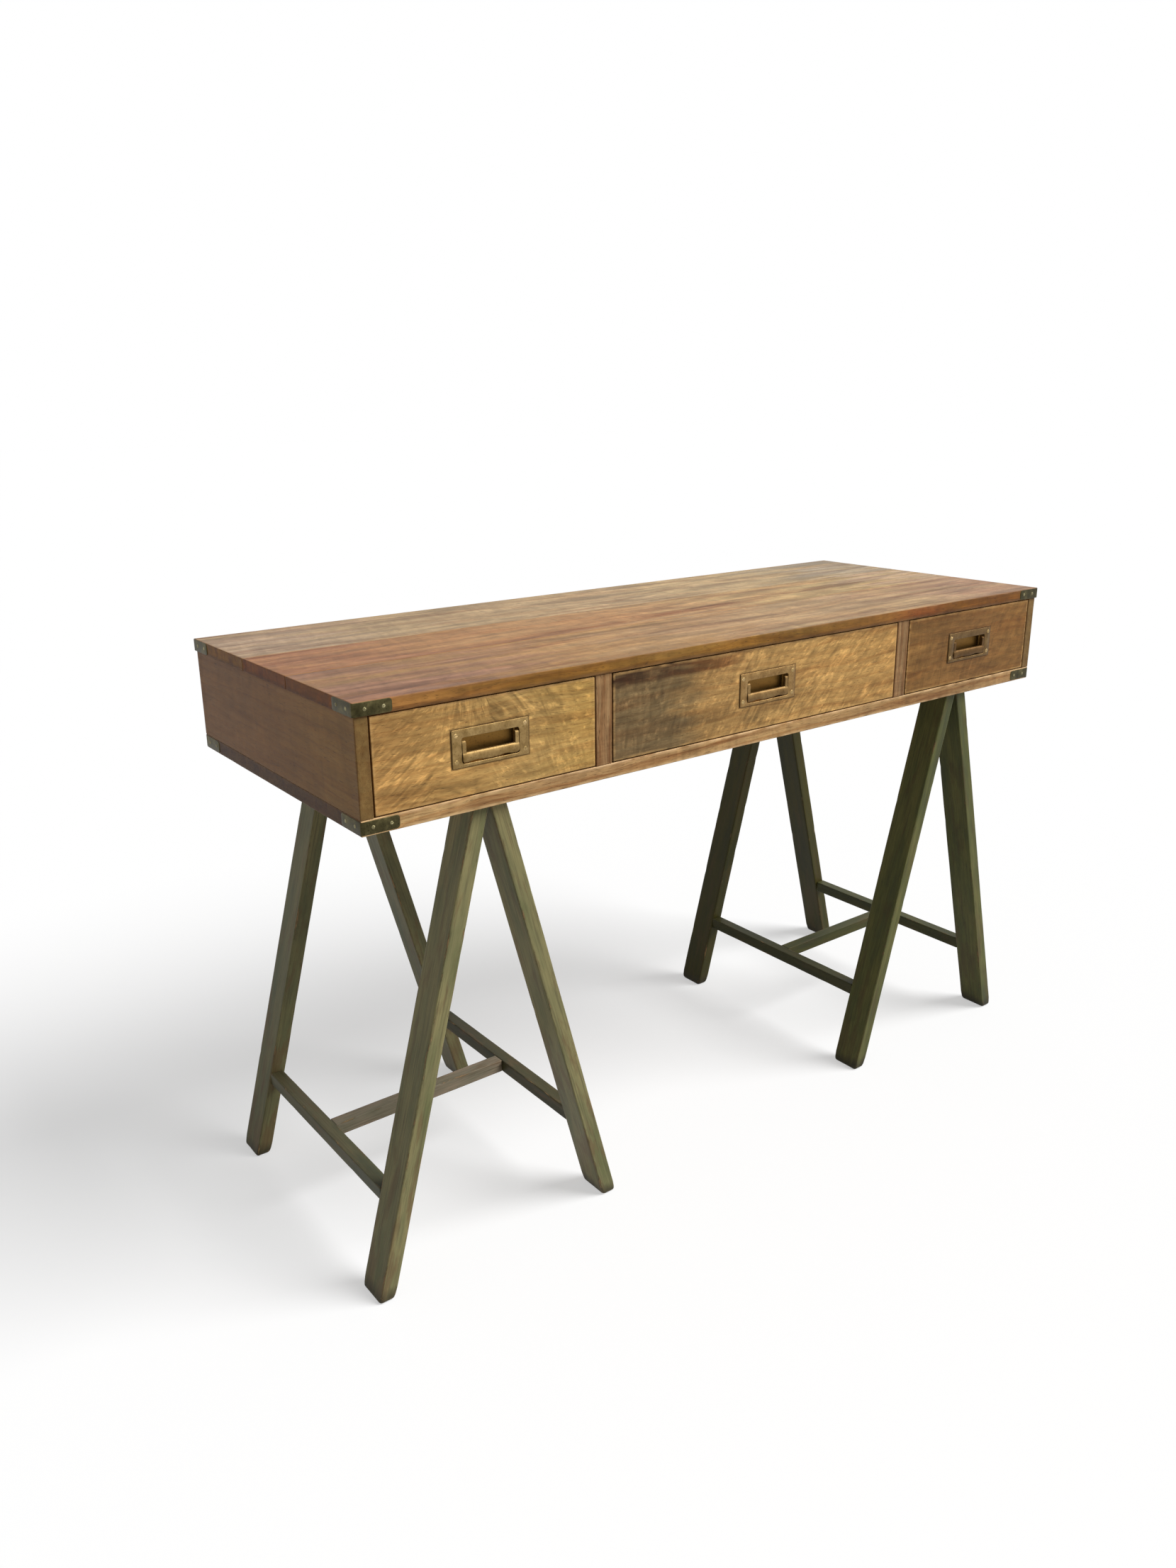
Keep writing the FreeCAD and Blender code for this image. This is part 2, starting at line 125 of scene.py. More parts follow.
def newObject(name, data):
    made = bpy.data.objects.new(name, data)
    bpy.context.scene.collection.objects.link(made)
    return made


def shapeObject(name, shape):  # an object in metres from a shape in mm
    bmesh.ops.scale(shape, vec=(mm,) * 3, verts=shape.verts)
    mesh = bpy.data.meshes.new(name)
    shape.to_mesh(mesh)
    shape.free()
    return newObject(name, mesh)


def makePiece(name, shape, material, grainOf=lambda p: p):
    # marks each point's place in the grain and how much it stands on an arris
    bmesh.ops.remove_doubles(shape, verts=shape.verts, dist=speck)
    bmesh.ops.dissolve_degenerate(shape, edges=shape.edges, dist=speck)
    bmesh.ops.recalc_face_normals(shape, faces=shape.faces)
    layers = shape.verts.layers
    grain = layers.float_vector.get("grain") or layers.float_vector.new("grain")
    arris = layers.float.get("arris")
    if arris is None:
        arris = layers.float.new("arris")
        for vert in shape.verts:
            turn = sum(edge.calc_face_angle(0.0) for edge in vert.link_edges)
            vert[arris] = min(1.0, turn / math.radians(60))
    for vert in shape.verts:
        vert[grain] = grainOf(vert.co)
    piece = shapeObject(name, shape)
    piece.data.shade_smooth()
    if material:
        piece.data.materials.append(material)
    return piece


def settle(piece, body, slot, *nodes):  # what carries a piece, its slot (not used) and the CAD nodes it replaces
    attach(piece, body)
    if nodes:
        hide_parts(*nodes)


def dress(node, suffix, shape, material, body, slot, *grainOf):  # a piece in a CAD node's place
    settle(makePiece(node + suffix, shape, material, *grainOf), body, slot, node)


def nodeBox(node):  # lowest and highest corners of a CAD node, mm
    low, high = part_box(node)
    return low / mm, high / mm


def outline(low, high):  # middle and half size of a box, seen from the front
    return (((low.x + high.x) / 2, (low.z + high.z) / 2), ((high.x - low.x) / 2, (high.z - low.z) / 2))


def evaluated(piece):  # the piece's shape in mm after its modifiers
    bpy.context.view_layer.update()
    graph = bpy.context.evaluated_depsgraph_get()
    shape = bmesh.new()
    shape.from_mesh(bpy.data.meshes.new_from_object(piece.evaluated_get(graph)))
    bpy.data.objects.remove(piece)
    bmesh.ops.scale(shape, vec=(1 / mm,) * 3, verts=shape.verts)
    return shape


def treated(piece, kind, **settings):
    change = piece.modifiers.new(kind, kind)
    for key, value in settings.items():
        setattr(change, key, value)
    return evaluated(piece)


def carved(piece, cutters):  # cut closed shapes out of a piece
    for cutter in cutters:
        change = piece.modifiers.new("cut", "BOOLEAN")
        change.object = cutter
        change.operation = "DIFFERENCE"
        change.solver = "EXACT"
    shape = evaluated(piece)
    for cutter in cutters:
        bpy.data.objects.remove(cutter)
    return shape


# Boards with eased, slightly worn arrises and hand-planed faces

def axisLines(low, high, edge, step):
    arc = [edge * (1 - math.tan(math.radians(15 * i))) for i in (3, 2, 1, 0)]
    fade = min(3 * edge + 1.0, (high - low) / 3)
    inner = high - low - 2 * fade
    count = max(1, round(inner / step))
    lines = [low + a for a in arc] + [low + fade + inner * i / count for i in range(count + 1)]
    return lines + [high - a for a in reversed(arc)]


def wornEdge(point, look):  # local radius of the arris: uneven, nicked here and there, rounder at a foot
    uneven, flare = 0.3, 1.8  # shares of the radius
    foot = max(0.0, 1 - point.z / look["footHeight"]) if "footHeight" in look else 0.0
    slow = noise.noise(point / look["wearLength"])
    nick = max(0.0, noise.noise(point / look["nickLength"] + Vector((7, 3, 5))) - look["nickLevel"])
    return look["edge"] * (1 + uneven * slow + flare * foot) + look["nickDepth"] * nick


def boardShape(low, high, look):
    lines = [axisLines(low[a], high[a], look["edge"], look["step"][a]) for a in range(3)]
    zone = 4  # lines in each rounded edge
    inward = 0.6  # the faces wave in more than out
    whole, gone = 0.6, 3.0  # how many radii from the edge the arris mark is whole, and gone
    shape = bmesh.new()
    arris = shape.verts.layers.float.new("arris")
    known = {}

    def corner(key):
        if key in known:
            return known[key]
        point = Vector([lines[a][key[a]] for a in range(3)])
        way = Vector((0, 0, 0))
        for a in range(3):
            side = 1 if key[a] >= len(lines[a]) - zone else -1 if key[a] < zone else 0
            face = high[a] if side > 0 else low[a]
            way[a] = side * max(1e-6, 1 - abs(face - point[a]) / look["edge"])
        radius = wornEdge(point, look)
        place = point.copy()
        for a in range(3):
            if way[a]:
                place[a] = (high[a] if way[a] > 0 else low[a]) - math.copysign(radius, way[a])
        place += way.normalized() * radius
        if sum(abs(p) > 0 for p in way) == 1:  # out on a face
            wave = noise.noise(point / look["waveLength"]) - inward
            place += way.normalized() * look["wave"] * wave
        known[key] = shape.verts.new(place)
        near = sorted(min(point[a] - low[a], high[a] - point[a]) for a in range(3))[1]
        known[key][arris] = min(1.0, max(0.0, (gone - near / look["edge"]) / (gone - whole)))
        return known[key]

    for a, b, c in ((0, 1, 2), (1, 2, 0), (2, 0, 1)):
        for level in (0, len(lines[c]) - 1):
            for i in range(len(lines[a]) - 1):
                for j in range(len(lines[b]) - 1):
                    quad = []
                    for u, v in ((i, j), (i + 1, j), (i + 1, j + 1), (i, j + 1)):
                        key = [0, 0, 0]
                        key[a], key[b], key[c] = u, v, level
                        quad.append(corner(tuple(key)))
                    shape.faces.new(quad)
    return shape


def grainAlong(axis, shift=(0, 0, 0)):  # coordinates with the first one along the grain
    turned = {"x": (0, 1, 2), "y": (1, 0, 2), "z": (2, 0, 1)}[axis]
    return lambda p: Vector([p[a] for a in turned]) + Vector(shift)


# Wood: its colour is built up in layers, each with a share, a tint and a blend

def grainLines(tree, look):  # places in a board that its marks follow, mm
    start, end = look["span"]
    place = addNode(tree, "Attribute", attribute_name="grain").outputs["Vector"]
    parts = addNode(tree, "SeparateXYZ", {0: place})
    run = addNode(tree, "MapRange", {0: parts.outputs[0], 1: start, 2: end})
    # the grain lines wave a little
    wave = pattern(tree, place, *look["marks"]["sway"])
    wave = addNode(tree, "VectorMath SUBTRACT", {0: wave.outputs[1], 1: (0.5, 0.5, 0.5)})
    sway = (0, look["sway"], look["sway"])
    flow = addNode(tree, "VectorMath MULTIPLY_ADD", {0: wave, 1: sway, 2: place})
    # the curl leans over along the board, by at most half as much again as it is high
    axis = look["faceAxis"]
    middle = look["faceMiddle"] + look["shift"][axis]
    lean = addNode(tree, "ValToRGB", {"Fac": run}, look["lean"])
    lean = addNode(tree, "MapRange", {0: lean, 3: -1.5, 4: 1.5})
    height = addNode(tree, "Math SUBTRACT", {0: parts.outputs[axis], 1: middle})
    slide = addNode(tree, "Math MULTIPLY", {0: lean, 1: height})
    slide = addNode(tree, "Math SUBTRACT", {0: parts.outputs[0], 1: slide})
    leaning = addNode(tree, "CombineXYZ", {0: slide, 1: parts.outputs[1], 2: parts.outputs[2]})
    return {"place": place, "run": run, "flow": flow, "leaning": leaning, "level": parts.outputs[2]}


def growthRings(tree, grain, look):  # round a heart that wanders along the log
    stray = (0, look["drift"], look["drift"])
    drift = pattern(tree, grain["place"], *look["marks"]["drift"]).outputs[1]
    bent = addNode(tree, "VectorMath MULTIPLY_ADD", {0: drift, 1: stray, 2: grain["flow"]})
    heart = addNode(tree, "Mapping", {"Vector": bent, "Location": look["heart"],
                                      "Rotation": [math.radians(a) for a in look["tilt"]]})
    across = addNode(tree, "VectorMath MULTIPLY", {0: heart, 1: (0, 1, 1)})
    reach = addNode(tree, "VectorMath LENGTH", {0: across})
    ripple = pattern(tree, grain["place"], *look["marks"]["ripple"])
    years = addNode(tree, "Math MULTIPLY", {0: reach, 1: 1 / look["ring"]})
    years = addNode(tree, "Math MULTIPLY_ADD", {0: ripple, 1: look["ripple"], 2: years})
    phase = addNode(tree, "Math FRACT", {0: years})
    late = addNode(tree, "ValToRGB", {"Fac": phase}, [(0, 0.0), (0.45, 0.15), (0.86, 1.0), (1, 0.0)])
    band = addNode(tree, "Math MULTIPLY", {0: late, 1: look["ringDepth"]})
    return [(band, look["ringTint"], "MULTIPLY")]


def heartStreaks(tree, grain, look):  # long streaks, broad and fine
    layers = []
    for mark, low, high in (("heart", 0.53, 0.68), ("streak", 0.5, 0.7)):
        stops = [(low, 0.0), (high, look[mark + "Depth"])]
        streak = ramped(tree, grain["flow"], look["marks"][mark], stops)
        layers.append((streak, look[mark + "Tint"], "MULTIPLY"))
    return layers


def heartVeins(tree, grain, look):  # dark veins that drift over the face from one end to the other
    axis = look["faceAxis"]
    lift = look["shift"][axis]
    layers = []
    for start, end, width, reach, tint in look["veins"]:
        line = addNode(tree, "MapRange", {0: grain["run"], 3: start + lift, 4: end + lift})
        off = addNode(tree, "SeparateXYZ", {0: grain["flow"]})
        off = addNode(tree, "Math SUBTRACT", {0: off.outputs[axis], 1: line})
        off = addNode(tree, "Math ABSOLUTE", {0: off})
        core = addNode(tree, "MapRange", {0: off, 1: width / 4, 2: width, 3: 1.0, 4: 0.0},
                       interpolation_type="SMOOTHSTEP")
        broken = pattern(tree, grain["place"], *look["marks"]["vein"])
        broken = addNode(tree, "MapRange", {0: broken, 1: 0.3, 2: 0.55})
        ends = addNode(tree, "ValToRGB", {"Fac": grain["run"]}, reach)
        core = addNode(tree, "Math MULTIPLY", {0: core, 1: broken})
        core = addNode(tree, "Math MULTIPLY", {0: core, 1: ends})
        layers.append((core, tint, "MULTIPLY"))
    return layers


def woodFigure(tree, grain, fibre, look):  # light and shade: clouds, curl, mottle, fibre and flecks
    marks = look["marks"]
    swell = pattern(tree, grain["place"], *marks["swell"])
    swell = addNode(tree, "MapRange", {0: swell, 1: 0.35, 2: 0.6, 3: 0.15, 4: look["curlDepth"]})
    layers = []
    for figure, low, high, depth in (
            (pattern(tree, grain["flow"], *marks["cloud"]), 0.68, 1.26, look["cloud"]),
            (pattern(tree, grain["leaning"], look["curl"], 2, 0.5, 0.8), 0.5, 1.36, swell),
            (pattern(tree, grain["flow"], *marks["mottle"]), 0.6, 1.2, look["mottle"]),
            (fibre, 0.6, 1.2, look["fibreDepth"])):
        tone = addNode(tree, "ValToRGB", {"Fac": figure}, [(0.3, low), (0.7, high)])
        layers.append((depth, tone, "MULTIPLY"))
    if "fleck" in look:
        fleck = ramped(tree, grain["leaning"], marks["fleck"], [(0.56, 1.0), (0.7, look["fleck"])])
        layers.append((1.0, fleck, "MULTIPLY"))
    return layers


def frameEdge(tree, place, middle, half):  # distance out from a rectangle's edge in x and z, mm
    off = addNode(tree, "VectorMath SUBTRACT", {0: place, 1: (middle[0], 0, middle[1])})
    off = addNode(tree, "VectorMath ABSOLUTE", {0: off})
    off = addNode(tree, "VectorMath SUBTRACT", {0: off, 1: (half[0], 0, half[1])})
    off = addNode(tree, "SeparateXYZ", {0: off})
    return addNode(tree, "Math MAXIMUM", {0: off.outputs[0], 1: off.outputs[2]})


def woodWear(tree, grain, look):  # what polish, hands and years leave on the faces and arrises
    place = grain["place"]
    normal = addNode(tree, "VectorMath ABSOLUTE", {0: addNode(tree, "NewGeometry").outputs["Normal"]})
    normal = addNode(tree, "SeparateXYZ", {0: normal})
    layers = []
    if "rimTones" in look:  # the upright faces tinted by their own tones along the board
        rim = addNode(tree, "MapRange", {0: normal.outputs[2], 1: 0.4, 2: 0.85, 3: 1.0, 4: 0.0})
        finish = addNode(tree, "ValToRGB", {"Fac": grain["run"]}, look["rimTones"])
        layers.append((rim, finish, "MULTIPLY"))
    if "soot" in look:  # painted shade in the gap under the desktop's front edge, on the edge's lower part and the drawer tops, less on a level face
        start, end, depth = look["soot"]
        line = addNode(tree, "MapRange", {0: grain["level"], 1: start, 2: end, 3: depth, 4: 0.0})
        rough = pattern(tree, place, *look["marks"]["soot"])
        rough = addNode(tree, "MapRange", {0: rough, 1: 0.3, 2: 0.55, 3: 0.35, 4: 1.0})
        upright = addNode(tree, "MapRange", {0: normal.outputs[2], 3: 1.0, 4: 0.35})
        line = addNode(tree, "Math MULTIPLY", {0: line, 1: rough})
        line = addNode(tree, "Math MULTIPLY", {0: line, 1: upright})
        layers.append((line, look["poreAndShadeTint"], "MIX"))
    # handled arrises, rubbed by wear; on the bottom panel partly a painted highlight
    arris = addNode(tree, "Attribute", attribute_name="arris")
    rub = ramped(tree, place, look["marks"]["rub"], [(0.35, 0.0), (0.62, look["rubDepth"])])
    rub = addNode(tree, "Math MULTIPLY", {0: arris.outputs["Fac"], 1: rub})
    layers.append((rub, look["rubTint"], "MIX"))
    if "plateShadow" in look:  # painted shadow round a plate's edge, together with the wax caught there
        unshifted = addNode(tree, "VectorMath SUBTRACT", {0: place, 1: look["shift"]})
        rim = frameEdge(tree, unshifted, *look["plateShadow"])
        rim = addNode(tree, "MapRange", {0: rim, 1: 0.3, 2: 2.2, 3: 0.75, 4: 0.0})
        layers.append((rim, look["poreAndShadeTint"], "MIX"))
    # end grain drinks more finish and goes darker
    cut = addNode(tree, "MapRange", {0: normal.outputs["xyz".index(look["along"])], 1: 0.25, 2: 0.9})
    return layers + [(cut, look["endTint"], "MULTIPLY")]


def makeWood(name, look):
    material, tree, shader = newMaterial(name)
    grain = grainLines(tree, look)
    fibre = pattern(tree, grain["flow"], *look["marks"]["fibre"])
    # open pores: dark dashes along the grain, drawn a little wider than real so that they show
    pore = ramped(tree, grain["flow"], look["marks"]["pore"], [(0.63, 0.0), (0.7, look["poreDepth"])])
    # base colour along the board, broken up by broad patches
    patch = pattern(tree, grain["place"], look["patch"], 3, 0.55, 0.4)
    shade = addNode(tree, "Math MULTIPLY_ADD", {0: patch, 1: look["patchReach"], 2: grain["run"]})
    shade = addNode(tree, "Math SUBTRACT", {0: shade, 1: look["patchReach"] / 2})
    colour = addNode(tree, "ValToRGB", {"Fac": shade}, look["tones"])
    colour = layered(tree, colour, growthRings(tree, grain, look) + heartStreaks(tree, grain, look)
                     + heartVeins(tree, grain, look) + woodFigure(tree, grain, fibre, look)
                     + [(pore, look["poreAndShadeTint"], "MIX")] + woodWear(tree, grain, look))
    sheen = addNode(tree, "MapRange", {0: fibre, 3: look["gloss"] - 0.07, 4: look["gloss"] + 0.1})
    relief = addNode(tree, "Math MULTIPLY_ADD", {0: pore, 1: -1.6, 2: fibre})
    bump = addNode(tree, "Bump", {"Height": relief, "Strength": look["relief"], "Distance": 0.25 * mm})
    plug(tree, shader, {"Base Color": colour, "Roughness": sheen, "Normal": bump, "IOR": 1.45,
                        "Specular IOR Level": look["shine"]})
    return material


# Planed mango wood under satin wax: warm tan, with dusky streaks, open pores and a soft shine.
# span is where a board starts and ends, heart where its log's heart runs, and for the painted shade under
# the desktop's edge the height where it is darkest, the height where it ends and its depth
mango = {
    "drift": 60, "heart": (0, 210, -75), "tilt": (0, 1.2, -2.0), "ring": 13, "ripple": 1.3,
    "patch": (260, 34, 34), "patchReach": 0.6, "span": (-600, 600),
    "ringDepth": 0.5, "ringTint": "#C39A70", "streakDepth": 0.7, "streakTint": "#A98262",
    "heartDepth": 0.8, "heartTint": "#B48C6C", "mottle": 0.45, "cloud": 0.4,
    "fibreDepth": 0.5, "curl": (16, 60, 60), "curlDepth": 0.5, "lean": [(0, 0.6), (1, 0.4)],
    "faceAxis": 2, "faceMiddle": 678, "veins": (), "along": "x", "shift": (0, 0, 0), "sway": 16,
    "endTint": "#A89A8A", "poreDepth": 0.6, "poreAndShadeTint": "#3F2A18", "rubDepth": 0.5,
    "rubTint": "#6E4A2A", "gloss": 0.5, "shine": 0.15, "relief": 0.35,
    # sizes of the marks in mm, along and across the grain, then detail, roughness and twist
    "marks": {"sway": ((170, 60, 60), 2), "drift": ((600, 130, 130), 1), "ripple": ((160, 10, 10), 3),
              "heart": ((420, 15, 22), 3, 0.6, 0.3), "streak": ((190, 4.5, 4.5), 4, 0.6, 0.3),
              "vein": ((90, 12, 12), 3), "swell": ((120, 60, 45), 2),
              "cloud": ((150, 24, 24), 2, 0.5, 0.6), "mottle": ((34, 11, 11), 3, 0.6, 0.8),
              "fibre": ((45, 0.9, 0.9), 3, 0.65), "fleck": ((9, 30, 7), 2, 0.6),
              "pore": ((11, 0.75, 0.75), 1), "soot": ((60, 9, 9), 3), "rub": ((22, 6, 6), 3)},
}

# Desktop: three planks edge to edge
desktop = {
    "edge": 1.3, "step": (9, 16, 16), "wearLength": 70, "nickLength": 11, "nickLevel": 0.42,
    "nickDepth": 3.2, "wave": 0.35, "waveLength": 110,
    "patch": (210, 34, 34), "patchReach": 0.95, "streakDepth": 0.28, "heartDepth": 0.5,
    "ringDepth": 0.3, "mottle": 0.5, "curlDepth": 0.3, "fibreDepth": 0.28, "faceAxis": 1,
    "faceMiddle": 0,
    "rimTones": [(0.0, "#FFF2B3"), (0.3, "#EADAA0"), (0.55, "#DDCE8C"), (0.7, "#D0AC78"),
                 (0.75, "#C08A66"), (0.79, "#BE8E64"), (0.83, "#C4A360"), (1.0, "#C4A360")],
    # the front edge is darkened low down as painted shade where it meets the drawers
    "soot": (734.6, 739.8, 0.95), "rubTint": "#9A7046", "endTint": "#C9A962", "cloud": 0.95,
    "front": {"tones": [(0.0, "#A0765A"), (0.25, "#B28855"), (0.38, "#B08A5B"), (0.5, "#B8946A"),
                        (0.7, "#C0A074"), (1.0, "#B48E6E")],
              "heart": (0, 250, -60)},
    "middle": {"tones": [(0.0, "#A6744F"), (0.25, "#B48554"), (0.55, "#C09868"), (0.8, "#C6A873"),
                         (1.0, "#C8AA88")],
               "heart": (0, -30, -90), "shift": (0, 37, 0),
               # where each vein starts and ends across the face, its width, its reach and its tint
               "veins": [(-72, 18, 17, [(0.2, 0.0), (0.32, 0.9), (0.85, 1.0), (0.93, 0.0)],
                          "#B89474")]},
    "back": {"tones": [(0.0, "#B4997D"), (0.25, "#B69A72"), (0.5, "#BA9D76"), (0.75, "#C6AA7D"),
                       (1.0, "#B09E84")],
             "heart": (0, -320, -70), "shift": (0, -55, 0)},
}
for row in ("front", "middle", "back"):
    node = "desktop_plank_" + row
    look = {**mango, **desktop, **desktop[row]}
    dress(node, "_wood", boardShape(*nodeBox(node), desktop),
          makeWood("waxed mango, desktop " + row, look), "case", "desktop_mango_wood",
          grainAlong("x", look["shift"]))
print("desktop planks done")

# Case: sides, dividers, back and bottom between the desktop and the trestles
case = {
    "edge": 1.0, "step": (14, 14, 14), "wearLength": 60, "nickLength": 9, "nickLevel": 0.42,
    "nickDepth": 2.6, "wave": 0.25, "waveLength": 90,
    "side": {"tones": [(0.0, "#96703E"), (0.5, "#8C643C"), (1.0, "#926A44")], "span": (-230, 230),
             "heart": (0, 640, 140), "along": "y", "ringDepth": 0.25, "streakDepth": 0.3,
             "heartDepth": 0.35, "curlDepth": 0.25, "mottle": 0.35, "fibreDepth": 0.35,
             "endTint": "#E4F0FA"},
    "divider": {"tones": [(0.0, "#987650"), (1.0, "#A6835A")], "span": (600, 740),
                "heart": (0, 60, 60), "shift": (90, 0, 0), "along": "z"},
    "back": {"tones": [(0.0, "#A58350"), (0.5, "#96724A"), (1.0, "#A1804E")],
             "heart": (0, 60, 640), "shift": (300, 0, 20)},
    # its pale, strongly rubbed arris is partly wear and partly a painted highlight
    "bottom": {"tones": [(0.0, "#D2B078"), (0.3, "#BC9464"), (0.6, "#C09A66"), (1.0, "#B08A5C")],
               "heart": (0, 100, 520), "shift": (120, 0, 0), "rubTint": "#E2BE8E",
               "rubDepth": 0.85, "endTint": "#746250"},
}
caseFloor = nodeBox("bottom_panel")[1].z
caseTop = nodeBox("desktop_plank_front")[0].z
for node, kind in (("side_panel_left", "side"), ("side_panel_right", "side"),
                   ("divider_left", "divider"), ("divider_right", "divider"),
                   ("back_panel", "back"), ("bottom_panel", "bottom")):
    low, high = nodeBox(node)
    if kind in ("side", "divider"):  # without the tongues, which are out of sight
        low.z, high.z = caseFloor, caseTop
    look = {**mango, **case[kind]}
    dress(node, "_wood", boardShape(low, high, case), makeWood("waxed mango, case " + node, look),
          "case", "case_mango_wood", grainAlong(look["along"], look["shift"]))
print("case boards done")


# Trestles

def makePaint(name, look):
    material, tree, shader = newMaterial(name)
    marks = look["marks"]
    wearLevel = look["wearLevel"]
    place = addNode(tree, "Attribute", attribute_name="grain").outputs["Vector"]
    base = ramped(tree, place, marks["cloud"], zip(look["stops"], look["tones"]))
    # dark wax wiped along the wood
    wax = ramped(tree, place, marks["wax"], [(0.46, 0.0), (0.7, look["waxDepth"])])
    # paint rubbed thin, with the wood showing through
    thin = pattern(tree, place, *marks["thin"])
    arris = addNode(tree, "Attribute", attribute_name="arris")
    worn = addNode(tree, "Math MULTIPLY_ADD", {0: arris.outputs["Fac"], 1: look["arrisWear"], 2: thin})
    rim = addNode(tree, "ValToRGB", {"Fac": worn}, [(wearLevel - 0.05, 0.0), (wearLevel, 0.6)])
    bare = addNode(tree, "ValToRGB", {"Fac": worn}, [(wearLevel, 0.0), (wearLevel + 0.05, 1.0)])
    under = ramped(tree, place, marks["fibre"], look["wood"])
    # brown patches where the colour has gone, more of them low down, and the feet darker at the bottom
    height = addNode(tree, "SeparateXYZ", {0: place})
    stain = pattern(tree, place, *marks["stain"])
    low = addNode(tree, "MapRange", {0: height, 2: 330.0, 3: 0.1, 4: 0.0})
    stain = addNode(tree, "Math ADD", {0: stain, 1: low})
    stain = addNode(tree, "ValToRGB", {"Fac": stain}, [(0.55, 0.0), (0.68, look["stainDepth"])])
    foot = pattern(tree, place, *marks["foot"])
    foot = addNode(tree, "Math MULTIPLY_ADD", {0: foot, 1: -22.0, 2: height})
    foot = addNode(tree, "MapRange", {0: foot, 1: -6.0, 2: 9.0, 3: 0.85, 4: 0.0})
    colour = layered(tree, base, [(wax, look["waxTint"], "MIX"), (rim, look["rimTint"], "MIX"),
                                  (stain, look["stainTint"], "MIX"), (foot, look["rimTint"], "MIX"),
                                  (bare, under, "MIX")])
    sheen = addNode(tree, "MapRange", {0: bare, 3: look["gloss"], 4: 0.62})
    brush = pattern(tree, place, *marks["brush"])
    film = addNode(tree, "Math MULTIPLY_ADD", {0: bare, 1: -0.5, 2: brush})
    bump = addNode(tree, "Bump", {"Height": film, "Strength": 0.4, "Distance": 0.2 * mm})
    plug(tree, shader, {"Base Color": colour, "Roughness": sheen, "Normal": bump, "IOR": 1.48,
                        "Specular IOR Level": look["shine"]})
    return material


# Brushed milk paint over hardwood, rubbed with dark wax: dull olive, brown where it is thin
trestle = {
    "edge": 1.8, "step": (12, 12, 9), "wearLength": 45, "nickLength": 9, "nickLevel": 0.38,
    "nickDepth": 3.5, "wave": 0.3, "waveLength": 70, "footHeight": 14.0,
    "thickness": 21.0, "lean": 14.9, "barEdge": 1.2, "railEdge": 1.0,
    "waxDepth": 0.6, "arrisWear": 0.16, "gloss": 0.5, "shine": 0.2, "stops": (0.3, 0.45, 0.6, 0.75),
    # sizes of the marks in mm, along and across the wood, then detail and roughness
    "marks": {"cloud": ((110, 26, 26), 4, 0.6), "wax": ((70, 2.2, 2.2), 4, 0.65),
              "thin": ((34, 3.5, 3.5), 5, 0.7), "stain": ((60, 14, 14), 4, 0.6),
              "foot": ((25, 8, 8), 3), "fibre": ((40, 0.8, 0.8), 3), "brush": ((60, 0.7, 0.7), 3)},
    # lit and shaded copies of one paint: the tones differ by part and by trestle as painted light and
    # shade, lighter on the front legs and cross stretcher, darker on the back legs and outer stretchers,
    # darkest on the inner stretchers, and darker all over on the right trestle
    "left": {"front": ("#6A6C46", "#7C7852", "#8C845A", "#867450"),
             "back": ("#5C6042", "#6E6C4A", "#7C7650", "#786A4A"),
             "outer": ("#424634", "#52523A", "#625E42", "#665C44"),
             "inner": ("#2F3220", "#3C3B24", "#484429", "#4C422A"),
             "cross": ("#66644E", "#7C7460", "#8E7E6A", "#8C7664"),
             "wood": [(0.3, "#7A5C3C"), (0.7, "#A88B63")], "waxTint": "#4C4430",
             "rimTint": "#3A3422", "wearLevel": 0.72, "stainDepth": 0.55, "stainTint": "#6A5236"},
    "right": {"front": ("#464A2C", "#56582E", "#666436", "#645A32"),
              "back": ("#2D2E0E", "#393710", "#433E13", "#453810"),
              "outer": ("#363A22", "#424424", "#504E2A", "#4D4526"),
              "inner": ("#292C12", "#323313", "#3C3A17", "#3B3414"),
              "cross": ("#363A1C", "#41421D", "#4E4B22", "#4C4320"),
              "wood": [(0.3, "#6A5034"), (0.7, "#927650")], "waxTint": "#35311E",
              "rimTint": "#2A2616", "wearLevel": 0.74, "stainDepth": 0.5, "stainTint": "#4C3E22"},
}


def paintedLeg(node, side, paint, shift):  # an upright board, sheared to the leg's lean
    run = trestle["thickness"] / math.cos(math.radians(trestle["lean"]))
    low, high = nodeBox(node)
    slope = (high.x - low.x - run) / (high.z - low.z)  # sideways run for each millimetre up
    foot = (high.x if side > 0 else low.x) - side * run / 2
    low.x, high.x = foot - run / 2, foot + run / 2
    shape = boardShape(low, high, trestle)
    for vert in shape.verts:
        vert.co.x -= side * slope * vert.co.z

    def alongLeg(p):
        return Vector((p.z, p.x + side * slope * p.z, p.y)) + shift
    dress(node, "_paint", shape, paint, "case", "olive_painted_wood", alongLeg)


def paintedBar(node, axis, start, end, edge, paint, shift):  # from face to face, without its tenons
    low, high = nodeBox(node)
    setattr(low, axis, start)
    setattr(high, axis, end)
    dress(node, "_paint", boardShape(low, high, {**trestle, "edge": edge}), paint, "case",
          "olive_painted_wood", grainAlong(axis, shift))


